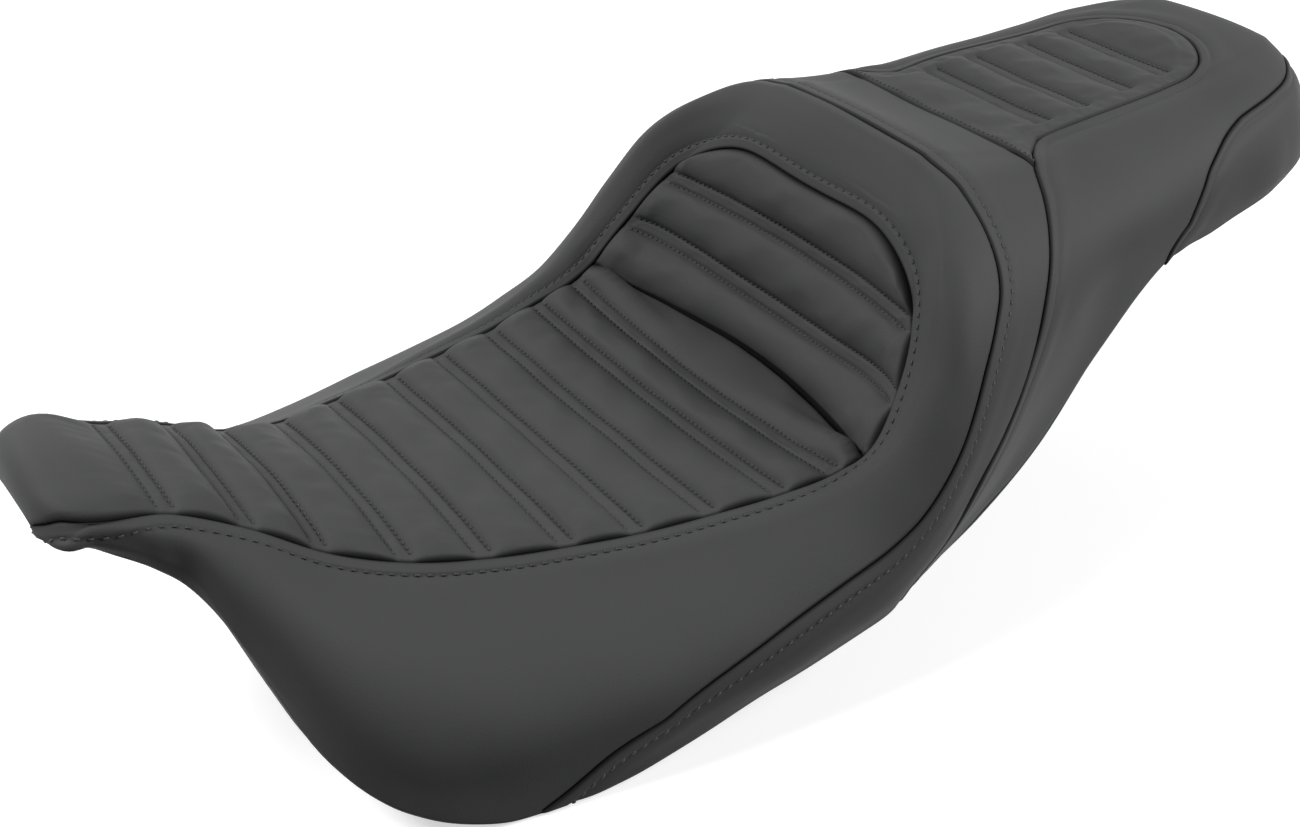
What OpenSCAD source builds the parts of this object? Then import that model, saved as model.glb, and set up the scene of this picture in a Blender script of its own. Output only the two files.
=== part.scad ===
// Two-up touring motorcycle seat: a moulded seat pan, two foam buns, a cover of seven sewn panels whose
// inserts lie on sewn padding, and the brackets and rubber rests that meet the motorcycle.
// The nose points along -Y, the rider's left is +X and +Z is up. The origin is at the middle of the
// bounding box, at the height of the lowest hem.

/* [Overall size] */
// Length of the cover from the nose to the tail
seat_length = 832; // [690:1:1000]
// Width of the cover over the rider's hips
driver_width = 376; // [312:1:452]
// Width of the cover along the passenger part
passenger_width = 242; // [200:1:290]
// Height from the lowest hem to the top of the bolster
seat_height = 242; // [200:1:292]

/* [Cover and padding] */
// Thickness of the vinyl cover
cover_t = 1.2; // [0.8:0.1:2]
// Thickness of the sewn padding behind the channelled inserts
padding_t = 4; // [3:0.5:8]
// Distance that the sewn padding stays inside its seam
padding_inset = 5; // [4:1:8]
// Foam between the dish and the seat pan
driver_foam_t = 43; // [34:1:54]
// Foam between the passenger surface and the seat pan
passenger_foam_t = 51; // [42:1:61]
// Foam between the sewn padding of the nose and the seat pan
nose_foam_t = 6; // [4:1:8]
// Foam between the side of the cover's hem and the seat pan
side_foam_t = 12; // [9:1:15]
// Width of the hem that is turned up inside the seat pan
hem_turn = 15; // [12:1:18]

/* [Seat pan] */
// Wall of the moulded seat pan
pan_wall = 3; // [2.5:0.1:4]
// Radius of the seat pan's shoulder
pan_corner_r = 14; // [8:1:18]
// Height of the seat pan's lower edge above the hem
pan_edge_lift = 3; // [2:0.5:5]

/* [Brackets] */
// Width of the front tongue
tongue_w = 38; // [30:1:46]
// Thickness of the steel of both brackets
bracket_t = 3; // [2.5:0.1:4]
// Length of the tongue's top plate, which is riveted to the seat pan
tongue_plate_len = 56; // [46:1:66]
// Drop of the tongue from its top plate to its tip
tongue_drop = 20; // [16:1:26]
// Reach of the tongue's tip beyond its bend
tongue_reach = 34; // [28:1:42]
// Width of the rear tab
tab_w = 34; // [28:1:42]
// Length of the rear tab's top plate
tab_plate_len = 48; // [40:1:56]
// Drop of the rear tab below its top plate
tab_drop = 12; // [10:1:14]
// Diameter of the hole for the fender screw
tab_hole_d = 8; // [6:0.5:10]
// Distance of the fender screw's hole from the tab's end
tab_hole_edge = 12; // [9:1:14]
// Diameter of the rivets' shanks
rivet_d = 5; // [4:0.5:6]
// Diameter of the rivets' heads
rivet_head_d = 9.5; // [8:0.5:12]
// Height of the rivets' heads
rivet_head_h = 2.2; // [1.5:0.1:3]
// Thickness of the rivets' backing washers
washer_t = 1.2; // [1:0.1:2]
// Outer diameter of the rivets' backing washers
washer_d = 13; // [12:0.5:15]

/* [Rubber rests] */
// Diameter of the round rubber rests
bumper_d = 32; // [26:1:38]
// Height of the rests below the rider, which lie on the frame rails
frame_bumper_h = 16; // [13:1:20]
// Height of the rests below the passenger, which lie on the fender
fender_bumper_h = 12; // [10:1:14]
// Distance between the left and right frame rests
frame_bumper_span = 150; // [120:1:180]
// Distance between the left and right fender rests
fender_bumper_span = 110; // [90:1:130]
// Thickness of the felt pad above the fender
felt_t = 3; // [2:0.5:4]
// Length of the felt pad
felt_len = 90; // [75:1:105]
// Width of the felt pad
felt_w = 70; // [58:1:74]

/* [Staples] */
// Number of staples along each side
staple_count = 18; // [12:1:22]
// Width of a staple's crown
staple_w = 10; // [8:1:12]

/* [Hidden] */

$fn = 48;

// The shape below is drawn at these sizes, and is scaled to the sizes above.
drawn_nose_y = -427;
drawn_tail_y = 405;
drawn_driver_w = 376;
drawn_passenger_w = 242;
drawn_height = 242;
length_scale = seat_length / (drawn_tail_y - drawn_nose_y);
height_scale = seat_height / drawn_height;

// Clearances
soft_gap = 0.8;    // between soft pieces, and between the foam and the seat pan
foam_gap = 2;      // between the foam and the smooth panels
seat_gap = 0.3;    // between a fastened piece and its seat
hole_gap = 0.25;   // radial gap of a rivet in its hole

// Guide lines of the outer surface: [station along Y, value]. Each cross-section runs from the crown at the
// middle over the insert's edge, the rim and the widest line down to the hem.
crown_z = [[-427, 166], [-423, 174], [-405, 178], [-385, 172], [-365, 163], [-335, 149], [-300, 131],
    [-265, 117], [-225, 109], [-185, 104], [-105, 98], [-50, 99], [6, 101], [11, 101], [16, 111], [25, 131],
    [35, 170], [41, 200], [46, 218], [54, 233], [66, 242], [80, 241], [115, 232], [150, 226], [185, 229],
    [280, 233], [330, 239], [365, 242], [385, 234], [398, 216], [405, 186]];
edge_x = [[-427, 28], [-423, 35], [-415, 44], [-365, 48], [-335, 56], [-300, 67], [-265, 78], [-225, 91],
    [-185, 101], [-145, 111], [-105, 119], [-70, 127], [-35, 133], [-15, 136], [3, 131], [24, 117],
    [38, 98], [46, 80], [60, 66], [90, 62], [180, 64], [280, 58], [330, 54], [370, 44], [395, 26],
    [402, 14], [405, 0]];
edge_z = [[-427, 165], [-423, 168], [-415, 172], [-365, 159], [-335, 144], [-300, 122], [-265, 109],
    [-225, 103], [-185, 100], [-145, 99], [-105, 100], [-70, 103], [-35, 108], [-20, 114], [3, 140],
    [24, 171], [38, 195], [46, 214], [56, 230], [68, 239], [82, 238], [115, 231], [150, 227], [185, 230],
    [280, 233], [330, 238], [365, 240], [385, 232], [398, 214], [405, 186]];
rim_x = [[-427, 30], [-423, 41], [-405, 51], [-365, 55], [-335, 63], [-300, 76], [-265, 87], [-225, 102],
    [-185, 115], [-145, 128], [-105, 139], [-70, 148], [-35, 155], [-15, 158], [10, 151], [25, 137],
    [38, 122], [52, 108], [70, 98], [90, 93], [150, 88], [230, 84], [280, 82], [330, 77], [365, 63],
    [390, 40], [401, 20], [405, 0]];
rim_z = [[-427, 164], [-423, 164], [-405, 169], [-365, 156], [-335, 141], [-300, 117], [-265, 104],
    [-225, 98], [-185, 95], [-145, 95], [-105, 97], [-70, 102], [-35, 115], [-15, 131], [10, 166],
    [25, 194], [38, 212], [52, 224], [70, 229], [90, 228], [150, 224], [230, 226], [280, 228], [330, 232],
    [365, 234], [390, 218], [405, 184]];
wide_x = [[-427, 31], [-423, 43], [-405, 53], [-380, 58], [-365, 64], [-354, 82], [-335, 114], [-301, 146],
    [-265, 163], [-225, 173], [-185, 180], [-145, 184], [-105, 187], [-70, 188], [-35, 187], [0, 182],
    [40, 172], [80, 158], [120, 144], [160, 132], [230, 121], [280, 115], [330, 108], [365, 93],
    [390, 66], [399, 44], [403, 24], [405, 0]];
wide_z = [[-427, 163], [-423, 162], [-405, 162], [-380, 147], [-365, 131], [-354, 100], [-335, 64],
    [-301, 36], [-265, 32], [-225, 34], [-185, 38], [-105, 48], [-70, 58], [-35, 68], [0, 86], [40, 114],
    [80, 140], [120, 158], [160, 170], [230, 176], [330, 182], [380, 184], [405, 180]];
hem_x = [[-427, 29], [-423, 38], [-405, 48], [-380, 54], [-365, 61], [-357, 74], [-345, 96], [-336, 112],
    [-326, 126], [-314, 139], [-298, 151], [-274, 163], [-255, 168], [-225, 172], [-185, 175], [-105, 177],
    [-48, 176], [-28, 175], [-10, 169], [10, 162], [57, 151], [110, 141], [160, 131], [223, 120],
    [280, 111], [330, 103], [365, 86], [390, 58], [398, 38], [403, 18], [405, 0]];
hem_z = [[-427, 161], [-415, 160], [-395, 148], [-380, 136], [-369, 125], [-357, 106], [-345, 72],
    [-336, 48], [-326, 32], [-314, 20], [-298, 11], [-274, 4], [-255, 1], [-220, 1], [-170, 8],
    [-127, 18], [-88, 25], [-48, 32], [-28, 37], [-10, 41], [10, 42], [57, 52], [110, 78], [160, 119],
    [195, 143], [223, 156], [265, 159], [330, 167], [405, 171]];

// The back insert is hollow: its height at the sides is the crown's height further back.
crease_y = 11;
hollow = [[-20, 0.0017], [3, 0.0014], [25, 0.0013], [35, 0.0008], [46, 0]];
// How quickly the cross-section rises to the insert's edge.
edge_power = [[-20, 2], [5, 4]];

// Places of the guide lines across the half section, from 0 at the middle to 1 at the hem.
at_edge = 0.4;
at_rim = 0.55;
at_wide = 0.8;
rim_direction = [0.888, -0.46];
fullness = 1.1;

function slope(k, i) =
    i == 0 ? (k[1][1] - k[0][1]) / (k[1][0] - k[0][0])
    : i == len(k) - 1 ? (k[i][1] - k[i-1][1]) / (k[i][0] - k[i-1][0])
    : let (h0 = k[i][0] - k[i-1][0], h1 = k[i+1][0] - k[i][0],
           d0 = (k[i][1] - k[i-1][1]) / h0, d1 = (k[i+1][1] - k[i][1]) / h1)
      d0 * d1 <= 0 ? 0 : (d0 * h1 + d1 * h0) / (h0 + h1);
function span(k, y, i = 0) = (i >= len(k) - 2 || y < k[i+1][0]) ? i : span(k, y, i + 1);
// Value of a guide line at a station: a cubic through its points, which is level at each peak and flat.
function guide(k, y_in) =
    let (y = min(max(y_in, k[0][0]), k[len(k)-1][0]), i = span(k, y), h = k[i+1][0] - k[i][0],
         t = (y - k[i][0]) / h, s = 1 - t)
    k[i][1] * (1 + 2 * t) * s * s + k[i+1][1] * t * t * (3 - 2 * t)
    + h * (slope(k, i) * t * s * s - slope(k, i + 1) * t * t * s);

// Scale of the widths at a station: the driver part and the passenger part are set apart.
function width_scale(y) =
    let (t = min(max((y - 40) / 140, 0), 1), s = t * t * (3 - 2 * t))
    (1 - s) * driver_width / drawn_driver_w + s * passenger_width / drawn_passenger_w;

function insert_z(y, t) =
    let (x = t * guide(edge_x, y), e = guide(edge_z, y), q = y + lookup(y, hollow) * x * x)
    (y > -20 && y < 46)
        ? let (xe = guide(edge_x, y), qe = y + lookup(y, hollow) * xe * xe,
               z = q > crease_y ? guide(crown_z, q) : guide(crown_z, y),
               ze = qe > crease_y ? guide(crown_z, qe) : guide(crown_z, y))
          z + (e - ze) * pow(t, lookup(y, edge_power))
        : guide(crown_z, y) + (e - guide(crown_z, y)) * t * t;

function blend(a, b, da, db, s) =
    let (reach = norm(b - a) * fullness)
    a * (1 + 2 * s) * (1 - s) * (1 - s) + b * s * s * (3 - 2 * s)
    + reach * (da * s * (1 - s) * (1 - s) - db * s * s * (1 - s));
function unit(v) = v / max(norm(v), 0.001);

// Height and half width of the outer surface at a station, without its scale.
function half_section(y, a) =
    a <= at_edge
        ? [a / at_edge * guide(edge_x, y), insert_z(y, a / at_edge)]
        : let (r = [guide(rim_x, y), guide(rim_z, y)], w = [guide(wide_x, y), guide(wide_z, y)])
          a <= at_rim
            ? let (e = [guide(edge_x, y), guide(edge_z, y)])
              blend(e, r, unit(r - e), rim_direction, (a - at_edge) / (at_rim - at_edge))
          : a <= at_wide
            ? blend(r, w, rim_direction, [0, -1], (a - at_rim) / (at_wide - at_rim))
          : let (b = [guide(hem_x, y), guide(hem_z, y)])
            blend(w, b, [0, -1], unit(b - w), (a - at_wide) / (1 - at_wide));

// Point of the outer surface: station y, and v from -1 at the right hem to 1 at the left hem.
function skin(y, v) =
    let (p = half_section(y, abs(v)))
    [(v < 0 ? -1 : 1) * p[0] * width_scale(y), y * length_scale, p[1] * height_scale];
function skin_normal(y, v) =
    let (h = 0.6, g = 0.012,
         y0 = max(y - h, drawn_nose_y), y1 = min(y + h, drawn_tail_y - 0.2),
         v0 = max(v - g, -1), v1 = min(v + g, 1))
    unit(cross(skin(y, v1) - skin(y, v0), skin(y1, v) - skin(y0, v)));
// Point that lies d below the outer surface.
function under(p, d) = skin(p[0], p[1]) - d * skin_normal(p[0], p[1]);

// A closed sheet between two grids of points of the same size.
module sheet(outer, inner) {
    n = len(outer);
    m = len(outer[0]);
    points = concat([for (row = outer) each row], [for (row = inner) each row]);
    function o(i, j) = i * m + j;
    function u(i, j) = n * m + i * m + j;
    // Two triangles for the four corners of a face
    function halves(a, b, c, d) = [[a, b, c], [a, c, d]];
    rows = [0:n-2];
    columns = [0:m-2];
    faces = concat(
        [for (i = rows, j = columns) each halves(o(i, j), o(i+1, j), o(i+1, j+1), o(i, j+1))],
        [for (i = rows, j = columns) each halves(u(i, j), u(i, j+1), u(i+1, j+1), u(i+1, j))],
        [for (i = rows) each halves(o(i, 0), u(i, 0), u(i+1, 0), o(i+1, 0))],
        [for (i = rows) each halves(o(i+1, m-1), u(i+1, m-1), u(i, m-1), o(i, m-1))],
        [for (j = columns) each halves(o(0, j+1), u(0, j+1), u(0, j), o(0, j))],
        [for (j = columns) each halves(o(n-1, j), u(n-1, j), u(n-1, j+1), o(n-1, j+1))]
    );
    polyhedron(points, faces, convexity = 8);
}
module panel(grid, from = 0, to = cover_t) {
    sheet([for (row = grid) [for (p = row) under(p, from)]],
          [for (row = grid) [for (p = row) under(p, to)]]);
}

// Seams, each a list of [station, place across the half section], from the left hem to the middle.
// Where the front cushion's insert ends: the crease in front of the back insert.
function crease_at(v) =
    let (s = abs(v) / at_edge, a = crease_y - 0.0014 * pow(s * guide(edge_x, 3), 2),
         b = crease_y - lookup(a, hollow) * pow(s * guide(edge_x, a), 2))
    crease_y - lookup(b, hollow) * pow(s * guide(edge_x, b), 2);
// The arch over the back insert.
arch_foot_y = 26;
arch_rise = 16;
function arch_at(v) = arch_foot_y + arch_rise * sqrt(max(0, 1 - pow(abs(v) / at_edge, 6)));
// The seam round the bolster and down to the front of the skirt.
bolster_seam = [[-248, 1], [-231, 0.95], [-206, 0.85], [-175, 0.795], [-140, 0.76], [-100, 0.73],
    [-58, 0.713], [-20, 0.71], [10, 0.7], [32, 0.688], [50, 0.675], [62, 0.655], [69, 0.61],
    [73, 0.53], [73, 0.4], [72, 0.2], [72, 0]];
// The edge of the rider's inserts beside each point of the bolster seam.
rider_edge = [[-225, 0.4], [-190, 0.4], [-160, 0.4], [-130, 0.4], [-100, 0.4], [-75, 0.4],
    [-50, 0.4], [-28, 0.4], [-8, 0.4], [8, 0.4], [20, 0.4], [29, 0.395], [36, 0.37],
    [40, 0.31], [41, 0.22], [42, 0.11], [42, 0]];
// The seam behind the middle band.
band_seam = [[-24, 1], [-11, 0.91], [10, 0.86], [30, 0.82], [51, 0.8], [64, 0.785],
    [83, 0.75], [95, 0.72], [105, 0.69], [113, 0.66], [120, 0.63], [126, 0.6], [131, 0.567],
    [135, 0.54], [135, 0.4], [135, 0.2], [135, 0]];
nose_stations = [-427, -423, -415, -405, -390, -374, -358, -342, -326, -308, -290, -270, -248];
hem_stations = [-427, -423, -415, -405, -390, -376, -363, -350, -338, -324, -309, -292, -271];
// The passenger insert's outline, and the rear skirt's seam beside it.
passenger_end_y = 333;
passenger_round = 50;
passenger_edge = [[-24, 1], [-11, 0.91], [10, 0.86], [30, 0.82], [51, 0.8], [64, 0.785], [83, 0.75],
    [95, 0.72], [105, 0.69], [113, 0.66], [120, 0.63], [126, 0.6], [135, 0.54], [144, 0.468],
    [160, 0.395], [185, 0.39], [215, 0.39], [250, 0.39], [283, 0.39], [306, 0.345], [320, 0.26],
    [329, 0.15], [333, 0]];
skirt_seam = [[218, 1], [220, 0.94], [224, 0.88], [229, 0.83], [235, 0.79], [241, 0.76], [248, 0.73],
    [255, 0.7], [262, 0.68], [270, 0.66], [278, 0.642], [287, 0.627], [297, 0.613], [308, 0.607],
    [320, 0.603], [334, 0.6], [346, 0.597], [357, 0.59], [368, 0.575], [380, 0.54], [390, 0.44],
    [396, 0.25], [398, 0]];
skirt_hem = [[221, 1], [228, 1], [236, 1], [244, 1], [252, 1], [261, 1], [270, 1], [279, 1], [288, 1],
    [298, 1], [308, 1], [318, 1], [328, 1], [338, 1], [347, 1], [356, 1], [365, 1], [373, 1], [381, 1],
    [389, 1], [396, 1], [402, 1], [404.8, 1]];
function mirrored(c) = concat([for (p = c) p], [for (i = [len(c)-2:-1:0]) [c[i][0], -c[i][1]]]);
function between(a, b, n) = [for (k = [0:n]) a + (b - a) * k / n];
function strip(a, b, n) = [for (i = [0:len(a)-1]) between(a[i], b[i], n)];

// Round the tail a strip turns down only after it has reached the end of the seat.
tail_turn_y = 334;
function tail_path(a, b, n) =
    let (t = min(max((a[0] - tail_turn_y) / (398 - tail_turn_y), 0), 1), w = t * t)
    [for (k = [0:n]) let (s = k / n, sy = (1 - w) * s + w * min(1, 2.5 * s),
        sv = (1 - w) * s + w * max(0, (2.5 * s - 1) / 1.5))
        [a[0] + (b[0] - a[0]) * sy, a[1] + (b[1] - a[1]) * sv]];
function passenger_half(y) =
    y > passenger_end_y - passenger_round
        ? 0.39 * sqrt(max(0, 1 - pow((y - passenger_end_y + passenger_round) / passenger_round, 2)))
        : lookup(y, [[135, 0.54], [144, 0.468], [160, 0.395], [185, 0.39], [283, 0.39]]);

// Grid over an insert between two curves that are given as functions of v.
function insert_grid(half, vn, yn, inset, front, rear) =
    [for (i = [0:yn]) [for (j = [-vn:vn])
        let (v = half * j / vn, a = front(v) + inset, b = rear(v) - inset) [a + (b - a) * i / yn, v]]];

padding_top = cover_t + soft_gap;
padding_bottom = padding_top + padding_t;
padding_half = at_edge * (1 - padding_inset / 100);

module driver_seat_panel() {
    color("#2b2c2e") panel(insert_grid(at_edge, 7, 30, 0,
        function (v) drawn_nose_y, function (v) crease_at(v)));
}
module driver_back_panel() {
    color("#303133") panel(insert_grid(at_edge, 7, 9, 0,
        function (v) crease_at(v), function (v) arch_at(v)));
}
module driver_border_panel() {
    inner = concat([for (y = nose_stations) [y, at_edge]], rider_edge);
    outer = concat([for (y = hem_stations) [y, 1]], bolster_seam);
    color("#343538") panel(strip(mirrored(inner), mirrored(outer), 9));
}
module middle_band_panel() {
    color("#3a3b3e") panel(strip(mirrored(bolster_seam), mirrored(band_seam), 5));
}
module passenger_top_panel() {
    stations = [135, 144, 160, 185, 215, 250, 283, 306, 320, 329, 332.6];
    color("#2f3032") panel([for (y = stations) [for (j = [-5:5]) [y, passenger_half(y) * j / 5]]]);
}
module passenger_side_panel() {
    color("#38393c") panel(strip(mirrored(passenger_edge), mirrored(skirt_seam), 8));
}
module rear_skirt_panel() {
    a = mirrored(skirt_seam);
    b = mirrored(skirt_hem);
    color("#313235") panel([for (i = [0:len(a)-1]) tail_path(a[i], b[i], 6)]);
}

// The hem goes under the seat pan's edge and up its inner side.
function hem_up(y) = min(hem_turn, pan_z(y) - pan_wall - 2 - guide(hem_z, y) * height_scale);
module cover_hem() {
    // Section of the folded hem: t is 0 on its outer face and cover_t on its inner face.
    function fold(y, t) =
        let (xh = guide(hem_x, y) * width_scale(y), zh = guide(hem_z, y) * height_scale,
             up = hem_up(y), low = zh - height_scale + t,
             xp = pan_half(y) - pan_wall - soft_gap, xu = pan_side_x(y, zh + up, -pan_wall) - soft_gap)
        [for (p = [[xh - cover_t - seat_gap - t * 0.4, low + 1.2], [xh - 4, low],
                [xp - 0.6 * cover_t + 0.2 * t, low], [xp - cover_t + t, zh + 0.6 + t * 0.4],
                [xu - cover_t + t, zh + up]])
            [p[0], y * length_scale, p[1]]];
    for (side = [0, 1])
        color("#26272a") mirror([side, 0, 0]) sheet(
            [for (y = pan_stations) fold(y, cover_t)], [for (y = pan_stations) fold(y, 0)]);
}

padding_start = 34;
module padding(grid) {
    color("#b9bdc1") panel(grid, padding_top, padding_bottom);
}
module driver_seat_padding() {
    padding(insert_grid(padding_half, 5, 20, padding_inset,
        function (v) drawn_nose_y + padding_start, function (v) crease_at(v) - 2));
}
module driver_back_padding() {
    padding(insert_grid(padding_half * 0.97, 5, 7, 3.5,
        function (v) crease_at(v), function (v) arch_at(v)));
}
module passenger_padding() {
    stations = [150, 158, 170, 200, 240, 275, 290, 304, 314, 320];
    padding([for (y = stations) [for (j = [-4:4]) [y, (passenger_half(y + 4) - 0.03) * j / 4]]]);
}

// Seat pan: the flat ceilings below the rider and the passenger, and the rises between them.
driver_ceiling = 98 * height_scale - driver_foam_t;
passenger_ceiling = 229 * height_scale - passenger_foam_t;
nose_ceiling = 177 * height_scale - padding_t - nose_foam_t;
nose_rise = [[-427, 1], [-400, 1], [-365, 0.86], [-335, 0.67], [-300, 0.44], [-265, 0.22], [-225, 0.07],
    [-190, 0], [-20, 0]];
passenger_rise = [[-20, 0], [30, 0.06], [60, 0.25], [90, 0.57], [115, 0.79], [140, 0.91], [165, 0.98],
    [180, 1], [405, 1]];
function pan_z(y) = y < -20
    ? driver_ceiling + (nose_ceiling - driver_ceiling) * guide(nose_rise, y)
    : driver_ceiling + (passenger_ceiling - driver_ceiling) * guide(passenger_rise, y);
side_inset = [[-427, 8], [-380, 8], [-330, 12], [180, 12], [230, 9], [405, 9]];
function pan_half(y) = guide(hem_x, y) * width_scale(y) - lookup(y, side_inset) / 12 * side_foam_t;
function pan_edge_z(y) = guide(hem_z, y) * height_scale + pan_edge_lift;
// The shoulder stays inside the slope between the rim and the widest line.
function pan_shoulder(y) =
    let (rz = guide(rim_z, y), rx = guide(rim_x, y), inset = lookup(y, side_inset) / 10 * side_foam_t,
         t = min(max((rz - pan_z(y) / height_scale) / max(rz - guide(wide_z, y), 1), 0), 1))
    min(pan_half(y), (rx + (guide(wide_x, y) - rx) * t) * width_scale(y) - inset);
function pan_round(y, grow) =
    min(pan_corner_r, 0.45 * (pan_z(y) - pan_edge_z(y))) + min(grow, 0) * 0.6;
// Half width of the seat pan's side at a height
function pan_side_x(y, z, grow) =
    let (top = pan_z(y) + grow - pan_round(y, grow), bottom = pan_edge_z(y),
         t = min(max((z - bottom) / max(top - bottom, 1), 0), 1))
    pan_half(y) + grow + (pan_shoulder(y) - pan_half(y)) * t;

// Point of the seat pan's outer face: w runs from -1 at the right edge to 1 at the left edge, and
// grow moves the point out from the pan.
function pan_point(y, w, grow = 0) =
    let (a = abs(w), x = pan_shoulder(y) + grow, z = pan_z(y) + grow, r = pan_round(y, grow),
         s = (a - 0.5) / 0.25, side_z = z - r + (pan_edge_z(y) - z + r) * (a - 0.75) / 0.25,
         p = a <= 0.5 ? [(x - r) * a / 0.5, z]
           : a <= 0.75 ? [x - r + r * sin(90 * s), z - r + r * cos(90 * s)]
           : [pan_side_x(y, side_z, grow), side_z])
    [(w < 0 ? -1 : 1) * p[0], y * length_scale, p[1]];
pan_stations = [-402, -396, -389, -380, -369, -358, -349, -341, -331, -319, -303, -281, -255, -225,
    -190, -150, -105, -60, -20, 0, 18, 35, 52, 68, 84, 100, 115, 130, 147, 165, 180, 223, 265, 310,
    345, 368, 382, 390];
pan_places = [-1, -0.87, -0.75, -0.67, -0.58, -0.5, -0.25, 0, 0.25, 0.5, 0.58, 0.67, 0.75, 0.87, 1];

// Places of the fasteners: [x, station].
frame_bumper_y = [-160, -50];
fender_bumper_y = [200, 330];
function pairs(stations, spacing, z) =
    [for (y = stations, side = [-0.5, 0.5]) [side * spacing, y * length_scale, z]];
frame_bumper_places = pairs(frame_bumper_y, frame_bumper_span, driver_ceiling);
fender_bumper_places = pairs(fender_bumper_y, fender_bumper_span, passenger_ceiling);
bumper_places = concat(frame_bumper_places, fender_bumper_places);
tongue_back_y = -110 * length_scale;
tongue_bend_y = tongue_back_y - tongue_plate_len;
tab_end_y = -drawn_nose_y * length_scale;
tab_bend_y = 372 * length_scale;
tab_front_y = tab_bend_y - tab_plate_len;
bracket_rivet_edge = 12;
// The two rivets of a bracket's top plate, which runs from y0 to y1.
function plate_rivets(y0, y1, z) = [for (y = [y0 + bracket_rivet_edge, y1 - bracket_rivet_edge]) [0, y, z]];
tongue_rivet_places = plate_rivets(tongue_bend_y, tongue_back_y, driver_ceiling);
tab_rivet_places = plate_rivets(tab_front_y, tab_bend_y, passenger_ceiling);
bracket_places = concat(tongue_rivet_places, tab_rivet_places);
// Heights under the ceiling
pan_under = pan_wall + seat_gap;
bracket_under = pan_under + bracket_t + seat_gap;
rivet_hole_r = rivet_d / 2 + hole_gap;

module rivet_holes(places) {
    for (p = places) translate([p[0], p[1], p[2] - 2 * pan_wall])
        cylinder(r = rivet_hole_r, h = 3 * pan_wall);
}
module seat_pan() {
    color("#1b1c1e") difference() {
        sheet([for (y = pan_stations) [for (w = pan_places) pan_point(y, w)]],
              [for (y = pan_stations) [for (w = pan_places) pan_point(y, w, -pan_wall)]]);
        rivet_holes(bumper_places);
        rivet_holes(bracket_places);
    }
}

// Foam: the outer side follows the cover, and lies deeper below the sewn padding.
foam_places = [0, 0.13, 0.26, 0.375, 0.415, 0.48, 0.55, 0.62, 0.69, 0.76, 0.82, 0.9, 0.985];
foam_across = concat([for (i = [len(foam_places)-1:-1:1]) -foam_places[i]], foam_places);
pan_place_at = [[0, 0], [0.4, 0.45], [0.55, 0.58], [0.69, 0.7], [0.985, 1]];
function pan_place(v) = (v < 0 ? -1 : 1) * lookup(abs(v), pan_place_at);
function on_insert(y, v) =
    y < arch_foot_y + arch_rise
        ? y > drawn_nose_y + padding_start - 4 && abs(v) < at_edge
        : y > 145 && y < passenger_end_y && abs(v) < passenger_half(y);
// The foam lies a little deeper where the surface bends sharply at the crease.
function foam_depth(y, v) =
    on_insert(y, v)
        ? padding_bottom + soft_gap + (abs(y - crease_y) < 40 ? soft_gap : 0)
        : cover_t + foam_gap;
module foam(outer_stations, inner_stations) {
    sheet([for (y = outer_stations) [for (v = foam_across) under([y, v], foam_depth(y, v))]],
          [for (y = inner_stations) [for (v = foam_across) pan_point(y, pan_place(v), soft_gap)]]);
}
// Pockets over the rivets' backing washers
pocket_h = washer_t + rivet_head_h + 2 * seat_gap + 1;
module washer_pockets(places) {
    for (p = places) translate([p[0], p[1], p[2] - 1]) cylinder(d = washer_d + 2, h = pocket_h + 1);
}
driver_split_y = 88;
module driver_foam() {
    outer = [-420, -409, -396, -382, -366, -352, -338, -322, -303, -281, -255, -225, -190, -150, -105,
        -65, -35, -25, -18, -12, -6, 0, 6, 11, 15, 20, 25, 30, 34, 38, 41, 46, 53, 62, 72,
        driver_split_y];
    // The foam wraps round the front of the pan.
    inner = [for (y = outer) y > -380 ? y : -402 + (y + 420) * 22 / 40];
    color("#d8c98f") difference() {
        foam(outer, inner);
        washer_pockets(frame_bumper_places);
        washer_pockets(tongue_rivet_places);
    }
}
module passenger_foam() {
    outer = [driver_split_y + soft_gap, 104, 122, 139, 147, 165, 185, 223, 265, 295, 315, 331, 345,
        360, 371, 380, 387, 392, 396];
    // The foam wraps round the end of the pan.
    inner = [for (y = outer) y < 345 ? y : 345 + (y - 345) * 45 / 51];
    color("#d8c98f") difference() {
        foam(outer, inner);
        washer_pockets(fender_bumper_places);
        washer_pockets(tab_rivet_places);
    }
}

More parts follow.
